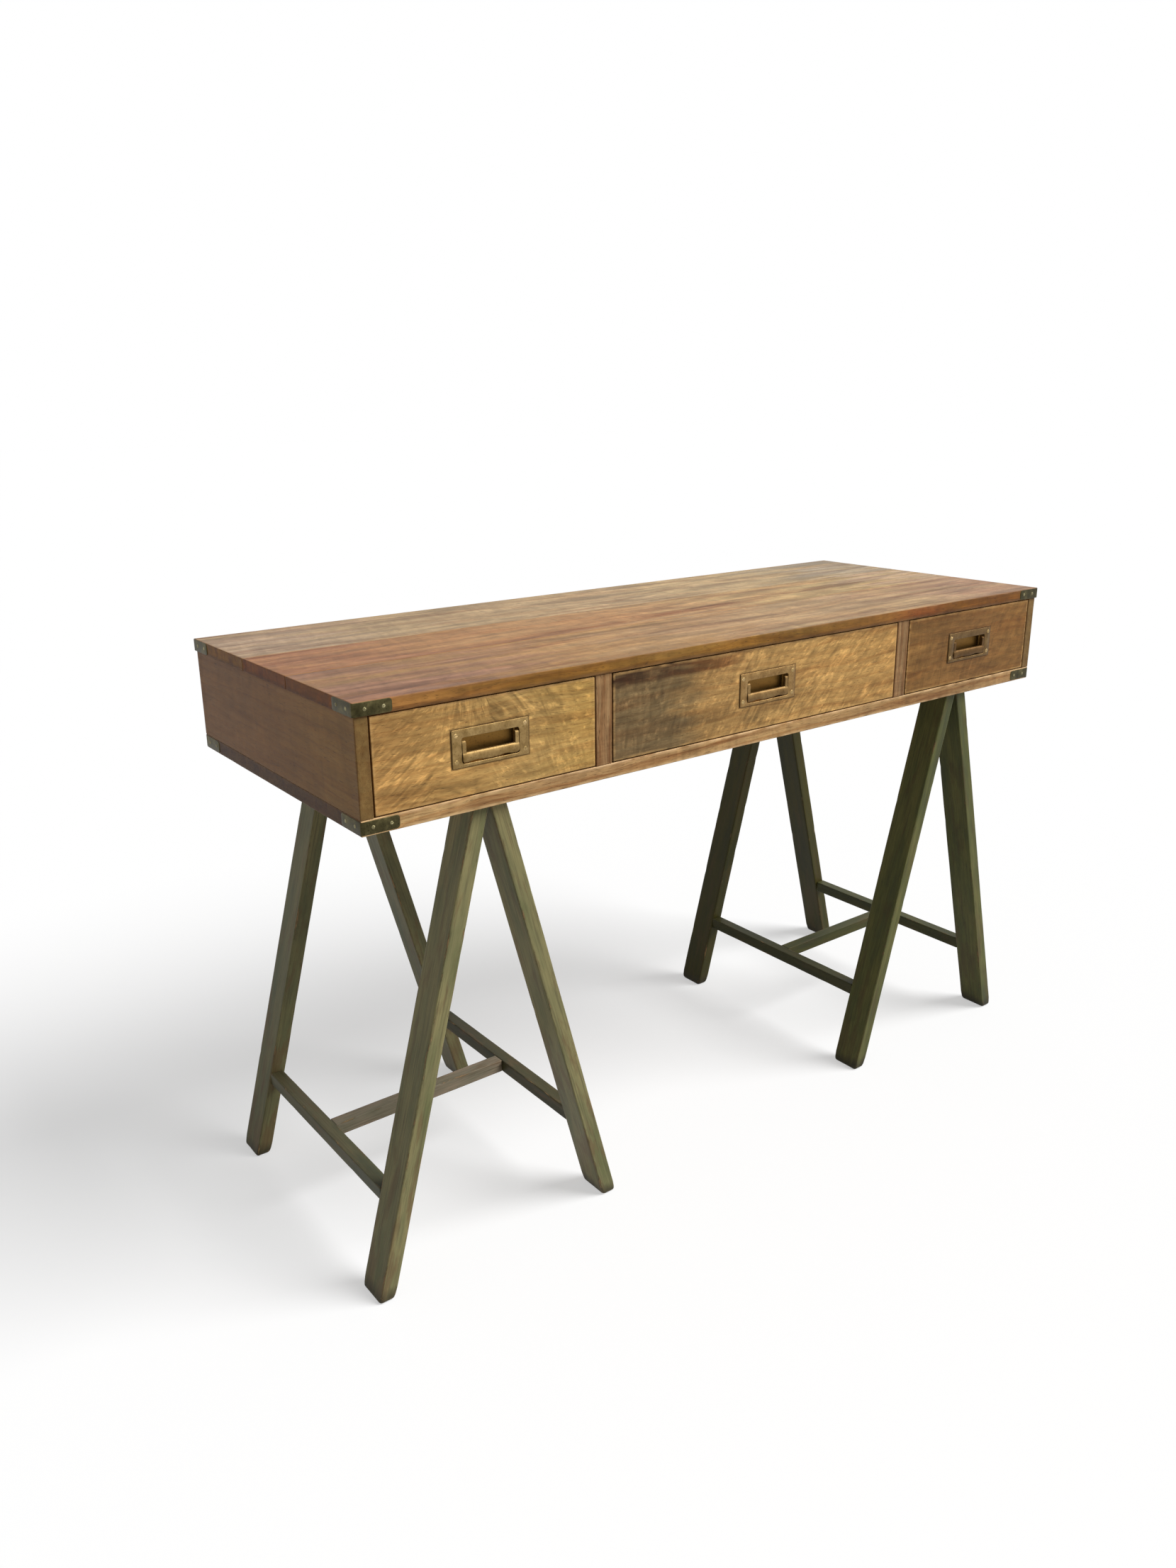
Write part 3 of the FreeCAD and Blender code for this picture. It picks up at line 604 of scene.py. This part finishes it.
for hand, hub in (("left", -1), ("right", 1)):
    prefix = hand + "_trestle_"
    paint = {part: makePaint("olive milk paint, %s trestle %s" % (hand, part),
                             {**trestle, **trestle[hand], "tones": trestle[hand][part]})
             for part in ("front", "back", "outer", "inner", "cross")}
    legShift = Vector((0, 170 * hub, 0))
    barShift = Vector((900, 170 * hub, 0))  # off the floor, so no dark foot
    legBack = nodeBox(prefix + "front_inner_leg")[1].y
    for place, side in (("outer", hub), ("inner", -hub)):
        for end in ("front", "back"):
            paintedLeg("%s%s_%s_leg" % (prefix, end, place), side, paint[end], legShift)
        paintedBar("%s%s_stretcher" % (prefix, place), "y", legBack, -legBack, trestle["barEdge"],
                   paint[place], barShift)
    near, far = sorted((nodeBox("%s%s_stretcher" % (prefix, place)) for place in ("inner", "outer")),
                       key=lambda box: box[0].x)
    paintedBar(prefix + "cross_stretcher", "x", near[1].x, far[0].x, trestle["barEdge"],
               paint["cross"], barShift)
    paintedBar(prefix + "top_rail", "y", legBack, -legBack, trestle["railEdge"], paint["front"], barShift)
print("trestles done")


# Drawers

# Dovetailed boxes of dull raw hardwood with pale plywood bottoms, behind honey-coloured fronts
drawer = {
    "edge": 1.1, "step": (9, 12, 9), "wearLength": 50, "nickLength": 9, "nickLevel": 0.45,
    "nickDepth": 2.4, "wave": 0.12, "waveLength": 80, "softEdge": 0.45, "plyEdge": 0.3,
    "ring": 11, "ringDepth": 0.25, "curl": (9, 40, 26), "curlDepth": 0.85, "mottle": 0.7, "cloud": 0.8,
    "fibreDepth": 0.3, "streakDepth": 0.3, "heartDepth": 0.4, "poreDepth": 0.5, "sway": 22,
    "rubTint": "#CFA468", "rubDepth": 0.7,
    # the left and middle fronts are darkened along the top as painted shade under the desktop's edge
    "left": {"tones": [(0.0, "#BE9256"), (0.3, "#C2985A"), (0.7, "#BC985C"), (1.0, "#C8A05A")],
             "span": (-582, -286), "heart": (0, 180, -560), "fleck": 1.5,
             "lean": [(0, 0.95), (0.25, 0.9), (0.5, 0.2), (1, 0.5)], "soot": (732.8, 730.0, 0.9)},
    "middle": {"tones": [(0.04, "#806A48"), (0.17, "#86704C"), (0.28, "#B48E57"), (0.6, "#C69C5E"),
                         (1.0, "#CC9F5E")],
               "span": (-262, 262), "heart": (0, 200, -760), "curlDepth": 0.7, "fleck": 1.45,
               "soot": (732.8, 728.2, 1.0), "patch": (90, 30, 24), "patchReach": 0.35,
               "lean": [(0, 0.5), (0.5, 0.75), (1, 0.9)],
               "veins": [(728, 716, 18, [(0.1, 1.0), (0.36, 0.8), (0.46, 0.0)], "#9C7E72")]},
    "right": {"tones": [(0.0, "#8E6838"), (0.5, "#92693A"), (1.0, "#926A38")], "curlDepth": 0.5,
              "span": (286, 582), "heart": (0, 150, -590), "lean": [(0, 0.55), (1, 0.7)]},
    "box": {"tones": [(0.0, "#B99A70"), (0.5, "#C2A57C"), (1.0, "#B59468")], "span": (-230, 230),
            "heart": (0, 300, 500), "gloss": 0.6, "poreDepth": 0.35, "endTint": "#BCA88E"},
    "bottom": {"tones": [(0.0, "#C0A27A"), (1.0, "#CBB08A")], "span": (-500, 500),
               "heart": (0, 30, 2000), "gloss": 0.62, "poreDepth": 0.2, "endTint": "#D8C4A8"},
}
boxWood = {axis: makeWood("raw hardwood, drawer box, grain along " + axis,
                          {**mango, **drawer, **drawer["box"], "along": axis}) for axis in "xy"}
plyWood = makeWood("birch plywood, drawer bottoms", {**mango, **drawer["bottom"]})


def looseCopy(name, node):  # a CAD node's mesh with its doubled corners joined
    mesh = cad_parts[node].data.copy()
    shape = bmesh.new()
    shape.from_mesh(mesh)
    bmesh.ops.remove_doubles(shape, verts=shape.verts, dist=speck * mm)
    bmesh.ops.dissolve_limit(shape, angle_limit=math.radians(1), verts=shape.verts, edges=shape.edges)
    shape.to_mesh(mesh)
    shape.free()
    return newObject(name, mesh)


def drawerFront(hand, plateBox, sunk):  # a board cut for the pull, the sides' tails and the bottom
    body = hand + "_drawer"
    node = body + "_front"
    low, high = plateBox
    room = pull["wall"] + pull["room"]
    pocket = bmesh.new()
    loft(pocket, [roundRect(sunk, grown(pull["recess"], room), pull["recessCorner"] + room, y)
                  for y in (low.y - pull["lead"], high.y + pull["room"])])
    blank = makePiece("blank", boardShape(*nodeBox(node), drawer), None)
    cutters = [makePiece("pocket", pocket, None)]
    cutters += [looseCopy("tails", "%s_%s_side" % (body, side)) for side in ("left", "right")]
    cutters.append(looseCopy("panel", body + "_bottom"))
    # the plate's outline, round which the front gets its painted shadow
    look = {**mango, **drawer, **drawer[hand], "plateShadow": outline(low, high)}
    dress(node, "_wood", carved(blank, cutters), makeWood("waxed mango, %s drawer front" % hand, look),
          body, "drawer_front_mango_wood", grainAlong("x", look["shift"]))


def drawerBox(body):
    for part, axis in (("left_side", "y"), ("right_side", "y"), ("back", "x")):
        node = body + "_" + part
        shape = treated(looseCopy("soft", node), "BEVEL", width=drawer["softEdge"] * mm, segments=2,
                        limit_method="ANGLE", angle_limit=math.radians(40))
        dress(node, "_wood", shape, boxWood[axis], body, "drawer_box_wood", grainAlong(axis))
    node = body + "_bottom"
    dress(node, "_ply", boardShape(*nodeBox(node), {**drawer, "edge": drawer["plyEdge"]}), plyWood,
          body, "drawer_bottom_plywood", grainAlong("x"))


# Brass gone brown in the hollows: dull gold where hands rub it, brown where they don't
def makeBrass(name, look):
    material, tree, shader = newMaterial(name)
    place = objectPlace(tree)
    cloud = pattern(tree, place, *look["marks"]["cloud"])
    base = addNode(tree, "ValToRGB", {"Fac": cloud}, zip(look["stops"], look["tones"]))
    layers = []
    if "rim" in look:  # painted shade along the plate's edge
        rim = frameEdge(tree, place, *look["rim"])
        rim = addNode(tree, "MapRange", {0: rim, 1: -1.4, 2: -0.2, 3: 0.0, 4: 0.8})
        layers.append((rim, look["speckAndShadeTint"], "MIX"))
    if "hollow" in look:  # patina left behind the face
        deep = addNode(tree, "SeparateXYZ", {0: place})
        deep = addNode(tree, "MapRange", {0: deep.outputs[1], 1: look["hollow"][0], 2: look["hollow"][1]})
        layers.append((deep, look["hollowTint"], "MIX"))
    spots = ramped(tree, place, look["marks"]["speck"], [(0.56, 0.0), (0.7, look["speckDepth"])])
    colour = layered(tree, base, layers + [(spots, look["speckAndShadeTint"], "MIX")])
    sheen = addNode(tree, "MapRange", {0: cloud, 3: look["gloss"] - 0.06, 4: look["gloss"] + 0.12})
    pitting = pattern(tree, place, *look["marks"]["pitting"])
    bump = addNode(tree, "Bump", {"Height": pitting, "Strength": 0.35, "Distance": 0.15 * mm})
    plug(tree, shader, {"Base Color": colour, "Roughness": sheen, "Normal": bump, "Metallic": 1.0})
    return material


aged = {
    "gloss": 0.42, "speckDepth": 0.5, "speckAndShadeTint": "#45331B", "hollowTint": "#806030",
    "stops": (0.3, 0.5, 0.7),
    # sizes of the marks in mm, then detail and roughness
    "marks": {"cloud": ((14, 14, 14), 5, 0.6), "speck": ((2.2, 2.2, 2.2), 3, 0.6),
              "pitting": ((1.6, 1.6, 1.6), 3)},
    "left": {"plate": ("#765E36", "#8E744A", "#A58B5C"),
             "bail": ("#765E36", "#8E744A", "#A58B5C")},
    "middle": {"plate": ("#765934", "#8F7147", "#A68858"),
               "bail": ("#664D2D", "#7B613D", "#8F754C")},
    "right": {"plate": ("#5A4427", "#6C5434", "#7E6642"),
              "bail": ("#503A1E", "#604729", "#705634")},
    "bail": {"gloss": 0.5},
    "bracket": {"tones": ("#322E1C", "#454029", "#625A3C"),
                "speckDepth": 0.6, "speckAndShadeTint": "#211C10", "gloss": 0.45},
    # screw heads lighter than the plates and brackets: partly rubbed brass, partly a painted highlight
    "bracketScrew": {"tones": ("#5E573C", "#7C7556", "#989070"),
                     "speckDepth": 0.4, "gloss": 0.4},
    "pullScrew": {"tones": ("#8A7248", "#A48A5C", "#BEA478"),
                  "speckDepth": 0.3, "gloss": 0.36},
}

# Screws of the pulls and the brackets
screw = {"dome": 0.55, "skirt": 0.5, "slotWidth": 0.75, "slotDepth": 0.5, "segments": 28,
         "cutterReach": 9.0, "cutterTop": 3.0}


def screwHead(radius):  # domed head with a driver slot, its seat at the origin and facing +Z
    count = screw["segments"]
    profile = [(radius, -screw["skirt"])]
    profile += [(radius * math.cos(math.radians(a)), screw["dome"] * math.sin(math.radians(a)))
                for a in (0, 12, 25, 40, 55, 70, 82)]
    shape = bmesh.new()
    loft(shape, [[(r * math.cos(math.tau * k / count), r * math.sin(math.tau * k / count), z)
                  for k in range(count)] for r, z in profile])
    cutter = bmesh.new()
    wide, far = screw["slotWidth"] / 2, screw["cutterReach"]
    loft(cutter, [[(-far, -wide, z), (far, -wide, z), (far, wide, z), (-far, wide, z)]
                  for z in (screw["dome"] - screw["slotDepth"], screw["cutterTop"])])
    for part in (shape, cutter):
        bmesh.ops.recalc_face_normals(part, faces=part.faces)
    return carved(shapeObject("head", shape), [shapeObject("slot", cutter)])


def screwed(name, head, places, material):  # heads at places, each a point and the way it faces
    dice = random.Random(name)
    single = bpy.data.meshes.new("single head")
    head.to_mesh(single)
    shape = bmesh.new()
    for point, facing in places:
        before = len(shape.verts)
        shape.from_mesh(single)
        shape.verts.ensure_lookup_table()
        turn = facing.to_track_quat("Z", "Y").to_matrix() @ Matrix.Rotation(
            dice.uniform(0, math.pi), 3, "Z")
        for vert in shape.verts[before:]:
            vert.co = turn @ vert.co + point
    return makePiece(name, shape, material)


# Flush pulls: a plate with a sunk pan, and the bail hinged in it
pull = {
    "edge": 0.45, "corner": 2.0, "recess": (38.0, 15.0), "recessCorner": 3.0, "recessDepth": 11.0,
    "panCorner": 1.5, "topStrip": 10.0, "wall": 2.0, "thickness": 2.0, "room": 0.25, "lead": 3.0,
    "lug": (5.0, 6.0, 6.8), "lugCorner": 0.4, "lugSink": 0.5,
    "pivotDrop": 6.0, "pivotDepth": 2.5, "pin": 3.0, "pinLength": 1.9, "pinSides": 12,
    "arm": 5.0, "armSteps": 14, "grip": (12.0, 5.0), "gripRoom": 0.6, "gripCorner": 3.0,
    "gripRoll": 0.8, "gripSteps": 60, "gripRows": 12,
    "crown": 1.4, "dip": 1.5, "dipWidth": 7.5, "remesh": 0.4, "smoothing": 4,
    "screw": 2.8, "screwRow": 15.0, "screwReach": 45.5, "patina": (0.8, 8.0), "sootEnds": 0.9,
}


def roundRect(middle, half, corner, y):
    ring = []
    for turn, (sx, sz) in enumerate(((1, 1), (-1, 1), (-1, -1), (1, -1))):
        for i in range(6):
            angle = math.radians(90 * turn + 18 * i)
            ring.append((middle[0] + sx * (half[0] - corner) + corner * math.cos(angle), y,
                         middle[1] + sz * (half[1] - corner) + corner * math.sin(angle)))
    return ring


def grown(half, more):
    return half[0] + more, half[1] + more


def blockRings(x, y, z, corner):  # rings up a small upright block with rounded corners
    half = ((x[1] - x[0]) / 2 - corner, (y[1] - y[0]) / 2 - corner)
    middle = ((x[0] + x[1]) / 2, (y[0] + y[1]) / 2)
    rings = []
    for inset, level in ((corner, z[0]), (0, z[0] + corner), (0, z[1] - corner), (corner, z[1])):
        rings.append([(middle[0] + sx * half[0] + dx * (corner - inset),
                       middle[1] + sy * half[1] + dy * (corner - inset), level)
                      for sx, sy, dx, dy in ((1, 1, 1, 0), (1, 1, 0, 1), (-1, 1, 0, 1),
                                             (-1, 1, -1, 0), (-1, -1, -1, 0), (-1, -1, 0, -1),
                                             (1, -1, 0, -1), (1, -1, 1, 0))])
    return rings


def plateShape(low, high, sunk):  # flange, rounded hole edge and pan in one closed skin, and two lugs
    middle, half = outline(low, high)
    face, back, edge = low.y, low.y + pull["thickness"], pull["edge"]
    hole, corner, foot = pull["recess"], pull["recessCorner"], pull["panCorner"]
    floor = face + pull["recessDepth"]
    ease = ((0.0, 1.0), (0.3, 0.3), (1.0, 0.0))  # round an arris: how far in, how far back
    rings = [roundRect(sunk, grown(hole, pull["wall"]), corner + pull["wall"], y) for y in (high.y, back)]
    rings.append(roundRect(middle, half, pull["corner"], back))
    rings += [roundRect(middle, grown(half, -edge * t), pull["corner"], face + edge * u) for t, u in ease]
    rings += [roundRect(sunk, grown(hole, edge * t), corner + edge * t, face + edge * u)
              for t, u in reversed(ease)]
    rings += [roundRect(sunk, grown(hole, -t), corner - t, floor - u)
              for t, u in ((0, foot), (foot / 3, foot / 3), (foot, 0))]
    shape = bmesh.new()
    loft(shape, rings)
    wide, tall, deep = pull["lug"]
    sink = pull["lugSink"]
    base = sunk[1] - hole[1]
    for side in (-1, 1):
        outer = sunk[0] + side * hole[0]
        loft(shape, blockRings(sorted((outer + side * sink, outer - side * wide)),
                               (floor - deep, floor + sink), (base - sink, base + tall),
                               pull["lugCorner"]))
    return shape


def bailShape(low, high, pivot):  # crowned grip with a dipped lower edge, two arms and their pins
    middle = (low.x + high.x) / 2
    tall, deep = pull["grip"]
    reach = pull["recess"][0] - pull["gripRoom"]
    curve, count, rows = pull["gripCorner"], pull["gripSteps"], pull["gripRows"]
    back, floor = low.y + deep, low.z
    shape = bmesh.new()
    rings = []
    for i in range(count + 1):
        run = reach * (2 * i / count - 1)
        dip = pull["dip"] * math.exp(-((abs(run) - 0.5 * reach) / pull["dipWidth"]) ** 2)
        near = max(0.0, curve - reach + abs(run))
        lift = curve - math.sqrt(max(0.0, curve * curve - near * near)) + dip
        ring = []
        for j in range(rows + 1):
            t = j / rows
            z = floor + lift + (tall - lift) * t
            bow = 1 - (2 * (z - floor) / tall - 1) ** 2
            ease = min(1.0, 8 * t, 8 * (1 - t)) ** 0.5
            ring.append((middle + run,
                         low.y + pull["crown"] * (1 - bow) + pull["gripRoll"] * (1 - ease), z))
        ring += [(middle + run, back, floor + tall), (middle + run, back, floor + lift)]
        rings.append(ring)
    loft(shape, rings)
    half, steps = pull["arm"] / 2, pull["armSteps"]
    foot, head = floor + tall / 2, pivot[1] + half
    pin, sides = pull["pin"] / 2, pull["pinSides"]
    for side in (-1, 1):
        outer = middle + side * reach
        span = sorted((outer, outer - side * pull["arm"]))
        rings = []
        for i in range(steps + 1):  # up the arm and round its end
            level = foot + (head - foot) * i / steps
            over = max(0.0, level - pivot[1])
            wide = math.sqrt(max(0.01, half ** 2 - over * over))
            rings.append([(span[0], pivot[0] - wide, level), (span[1], pivot[0] - wide, level),
                          (span[1], pivot[0] + wide, level), (span[0], pivot[0] + wide, level)])
        loft(shape, rings)
        loft(shape, [[(outer + side * out, pivot[0] + pin * math.cos(math.tau * k / sides),
                       pivot[1] + pin * math.sin(math.tau * k / sides)) for k in range(sides)]
                     for out in (-1, pull["pinLength"])])
    bmesh.ops.recalc_face_normals(shape, faces=shape.faces)
    cast = treated(shapeObject("bail", shape), "REMESH", mode="VOXEL", voxel_size=pull["remesh"] * mm)
    for _ in range(pull["smoothing"]):
        bmesh.ops.smooth_vert(cast, verts=cast.verts, factor=0.5, use_axis_x=True,
                              use_axis_y=True, use_axis_z=True)
    return cast


def flushPull(hand, plateBox, sunk, head, headBrass):
    low, high = plateBox
    body = hand + "_drawer"
    middle, half = outline(low, high)
    look = {**aged, "hollow": [low.y + depth for depth in pull["patina"]]}
    plateEdgeShade = (middle, (half[0], half[1] + pull["sootEnds"]))  # painted shade along the plate's edge, most at the ends
    brass = makeBrass("aged brass, %s plate" % hand, {**look, "tones": aged[hand]["plate"], "rim": plateEdgeShade})
    dress(hand + "_pull_plate", "_brass", plateShape(low, high, sunk), brass, body, "pull_aged_brass")
    places = [(Vector((middle[0] + sx * pull["screwReach"], low.y, middle[1] + sz * pull["screwRow"])),
               Vector((0, -1, 0))) for sx in (-1, 1) for sz in (-1, 1)]
    settle(screwed(hand + "_pull_screws", head, places, headBrass), body, "pull_aged_brass")
    node = hand + "_pull_bail"
    pivot = (low.y + pull["pivotDepth"], sunk[1] + pull["recess"][1] - pull["pivotDrop"])
    brass = makeBrass("aged brass, %s bail" % hand, {**look, **aged["bail"], "tones": aged[hand]["bail"]})
    dress(node, "_brass", bailShape(*nodeBox(node), pivot), brass, hand + "_bail", "pull_aged_brass")


pullHead = screwHead(pull["screw"])
pullScrewBrass = makeBrass("rubbed brass, pull screws", {**aged, **aged["pullScrew"]})
for hand in ("left", "middle", "right"):
    plateBox = nodeBox(hand + "_pull_plate")
    sunk = (outline(*plateBox)[0][0], plateBox[1].z - pull["topStrip"] - pull["recess"][1])
    drawerFront(hand, plateBox, sunk)
    drawerBox(hand + "_drawer")
    flushPull(hand, plateBox, sunk, pullHead, pullScrewBrass)
print("drawers done")


# Corner brackets

bracket = {"arm": 46.0, "height": 15.0, "thickness": 1.6, "proud": 0.4, "bend": 2.0, "endCorner": 4.0,
           "edge": 0.35, "endEase": 0.6, "nose": 0.1, "screw": 2.2, "screwPlaces": (14.0, 36.0)}


def bracketShape(shape, corner, hub, level):  # strap round a corner, in the quadrant hub
    bend, thick, edge, end = (bracket[key] for key in ("bend", "thickness", "edge", "endCorner"))
    x, y = (c + bracket["proud"] for c in corner)
    straight = bracket["arm"] + bracket["proud"] - bend
    # distances from an arm's end, close together where its corners are rounded
    runs = [0, 0.25, 0.6, 1.2, 2, 3, end] + [end + (straight - end) * i / 6 for i in range(1, 7)]
    turns = [math.radians(15 * i) for i in range(1, 6)]
    # outer point, way out, distance from the arm's end
    path = [(x - bend - straight + run, y, 0, 1, run) for run in runs]
    path += [(x - bend + bend * math.sin(a), y - bend + bend * math.cos(a), math.sin(a),
              math.cos(a), straight) for a in turns]
    path += [(x, y - bend - straight + run, 1, 0, run) for run in reversed(runs)]
    rings = []
    for px, py, nx, ny, run in path:
        short = max(0.0, end - run)
        half = bracket["height"] / 2 - (end - math.sqrt(max(0.0, end * end - short * short)))
        ease = edge * max(0.0, 1 - run / bracket["endEase"])
        nose = bracket["nose"]
        ring = []
        for out, up in ((-thick, -half), (-edge, -half), (-nose, -half + nose), (0, -half + edge),
                        (0, half - edge), (-nose, half - nose), (-edge, half), (-thick, half)):
            out = max(-thick, out - ease)
            ring.append((hub[0] * (px + nx * out), hub[1] * (py + ny * out), level + up))
        rings.append(ring)
    loft(shape, rings)


def bracketScrews(corner, hub, level):
    x, y = (c + bracket["proud"] for c in corner)
    for run in bracket["screwPlaces"]:
        yield Vector((hub[0] * (corner[0] - run), hub[1] * y, level)), Vector((0, hub[1], 0))
        yield Vector((hub[0] * x, hub[1] * (corner[1] - run), level)), Vector((hub[0], 0, 0))


bracketBrass = makeBrass("aged brass, brackets", {**aged, **aged["bracket"]})
bracketScrewBrass = makeBrass("rubbed brass with painted highlight, bracket screws", {**aged, **aged["bracketScrew"]})
deskLow, deskHigh = nodeBox("desktop_plank_front")[0], nodeBox("desktop_plank_back")[1]
panelLow, panelHigh = nodeBox("bottom_panel")
deskCorner, deskLevel = (deskHigh.x, deskHigh.y), (deskLow.z + deskHigh.z) / 2
panelCorner, panelLevel = (panelHigh.x, panelHigh.y), (panelLow.z + panelHigh.z) / 2
lower = bmesh.new()
places = []
for sy, end in ((-1, "front"), (1, "back")):
    for sx, hand in ((-1, "left"), (1, "right")):
        node = "top_bracket_%s_%s" % (end, hand)
        shape = bmesh.new()
        bracketShape(shape, deskCorner, (sx, sy), deskLevel)
        dress(node, "_brass", shape, bracketBrass, "case", "bracket_aged_brass")
        bracketShape(lower, panelCorner, (sx, sy), panelLevel)
        places += bracketScrews(deskCorner, (sx, sy), deskLevel)
        places += bracketScrews(panelCorner, (sx, sy), panelLevel)
dress("bottom_brackets", "_brass", lower, bracketBrass, "case", "bracket_aged_brass")
settle(screwed("bracket_screws", screwHead(bracket["screw"]), places, bracketScrewBrass), "case",
       "bracket_aged_brass")
print("brackets done")


# Stops and coach screws keep the CAD shapes: dull pale wood, and grey steel with a soft gleam
def makePlain(name, tones, roughness, metallic=0.0):
    material, tree, shader = newMaterial(name)
    colour = ramped(tree, objectPlace(tree), ((9, 9, 9), 4), [(0.3, tones[0]), (0.7, tones[1])])
    plug(tree, shader, {"Base Color": colour, "Roughness": roughness, "Metallic": metallic})
    return material


for node, material in (
        ("drawer_stops", makePlain("raw hardwood, stops", ("#A98A60", "#B89A70"), 0.6)),
        ("trestle_coach_screws", makePlain("zinc-plated steel", ("#8E9296", "#A9ADB0"), 0.35, 1.0))):
    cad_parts[node].data.materials.clear()
    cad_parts[node].data.materials.append(material)


# Floor, light and camera

stage = {"albedo": 0.5, "glow": 0.5, "sunWay": (0.52, -0.49, 0.70), "sun": 3.6, "sunAngle": 36,
         "sky": 0.2, "size": 60.0}
camera = {"azimuth": -37.14, "elevation": 17.88, "roll": -0.52, "lens": 27.33, "sensor": 36.0,
          "place": (-1.1168, -1.3026, 1.0401), "farthest": 200.0}


def backdropRays(tree):  # 1 for rays that show the backdrop: straight, mirrored or through glass
    rays = addNode(tree, "LightPath").outputs
    seen = addNode(tree, "Math MAXIMUM", {0: rays["Is Camera Ray"], 1: rays["Is Glossy Ray"]})
    return addNode(tree, "Math MAXIMUM", {0: seen, 1: rays["Is Transmission Ray"]})


# seamless paper: lit from within only for the rays that show it, so it still takes the shadow
paper, tree, shader = newMaterial("white seamless paper")
glow = addNode(tree, "Math MULTIPLY", {0: backdropRays(tree), 1: stage["glow"]})
plug(tree, shader, {"Base Color": linear(stage["albedo"]), "Roughness": 1.0, "Specular IOR Level": 0.0,
                    "Emission Color": linear(1.0), "Emission Strength": glow})
bpy.ops.mesh.primitive_plane_add(size=stage["size"])
floor = bpy.context.object
floor.name = "floor"
floor.data.materials.append(paper)

world = bpy.data.worlds.new("studio")
world.use_nodes = True
bpy.context.scene.world = world
tree = world.node_tree
level = addNode(tree, "MapRange", {0: backdropRays(tree), 3: stage["sky"], 4: 1.0})
plug(tree, tree.nodes["Background"], {"Color": linear(1.0), "Strength": level})

sun = newObject("key light", bpy.data.lights.new("key light", "SUN"))
sun.rotation_euler = Vector(stage["sunWay"]).to_track_quat("Z", "Y").to_euler()
sun.data.energy = stage["sun"]
sun.data.angle = math.radians(stage["sunAngle"])

turn, tip, roll = (math.radians(camera[key]) for key in ("azimuth", "elevation", "roll"))
aim = Matrix.Rotation(turn, 4, "Z") @ Matrix.Rotation(math.pi / 2 - tip, 4, "X")
eye = newObject("camera", bpy.data.cameras.new("camera"))
eye.matrix_world = Matrix.Translation(camera["place"]) @ aim @ Matrix.Rotation(roll, 4, "Z")
eye.data.lens = camera["lens"]
eye.data.sensor_width = camera["sensor"]
eye.data.clip_end = camera["farthest"]
bpy.context.scene.camera = eye
bpy.context.scene.view_settings.view_transform = "Standard"
print("stage done")

print("scene done")
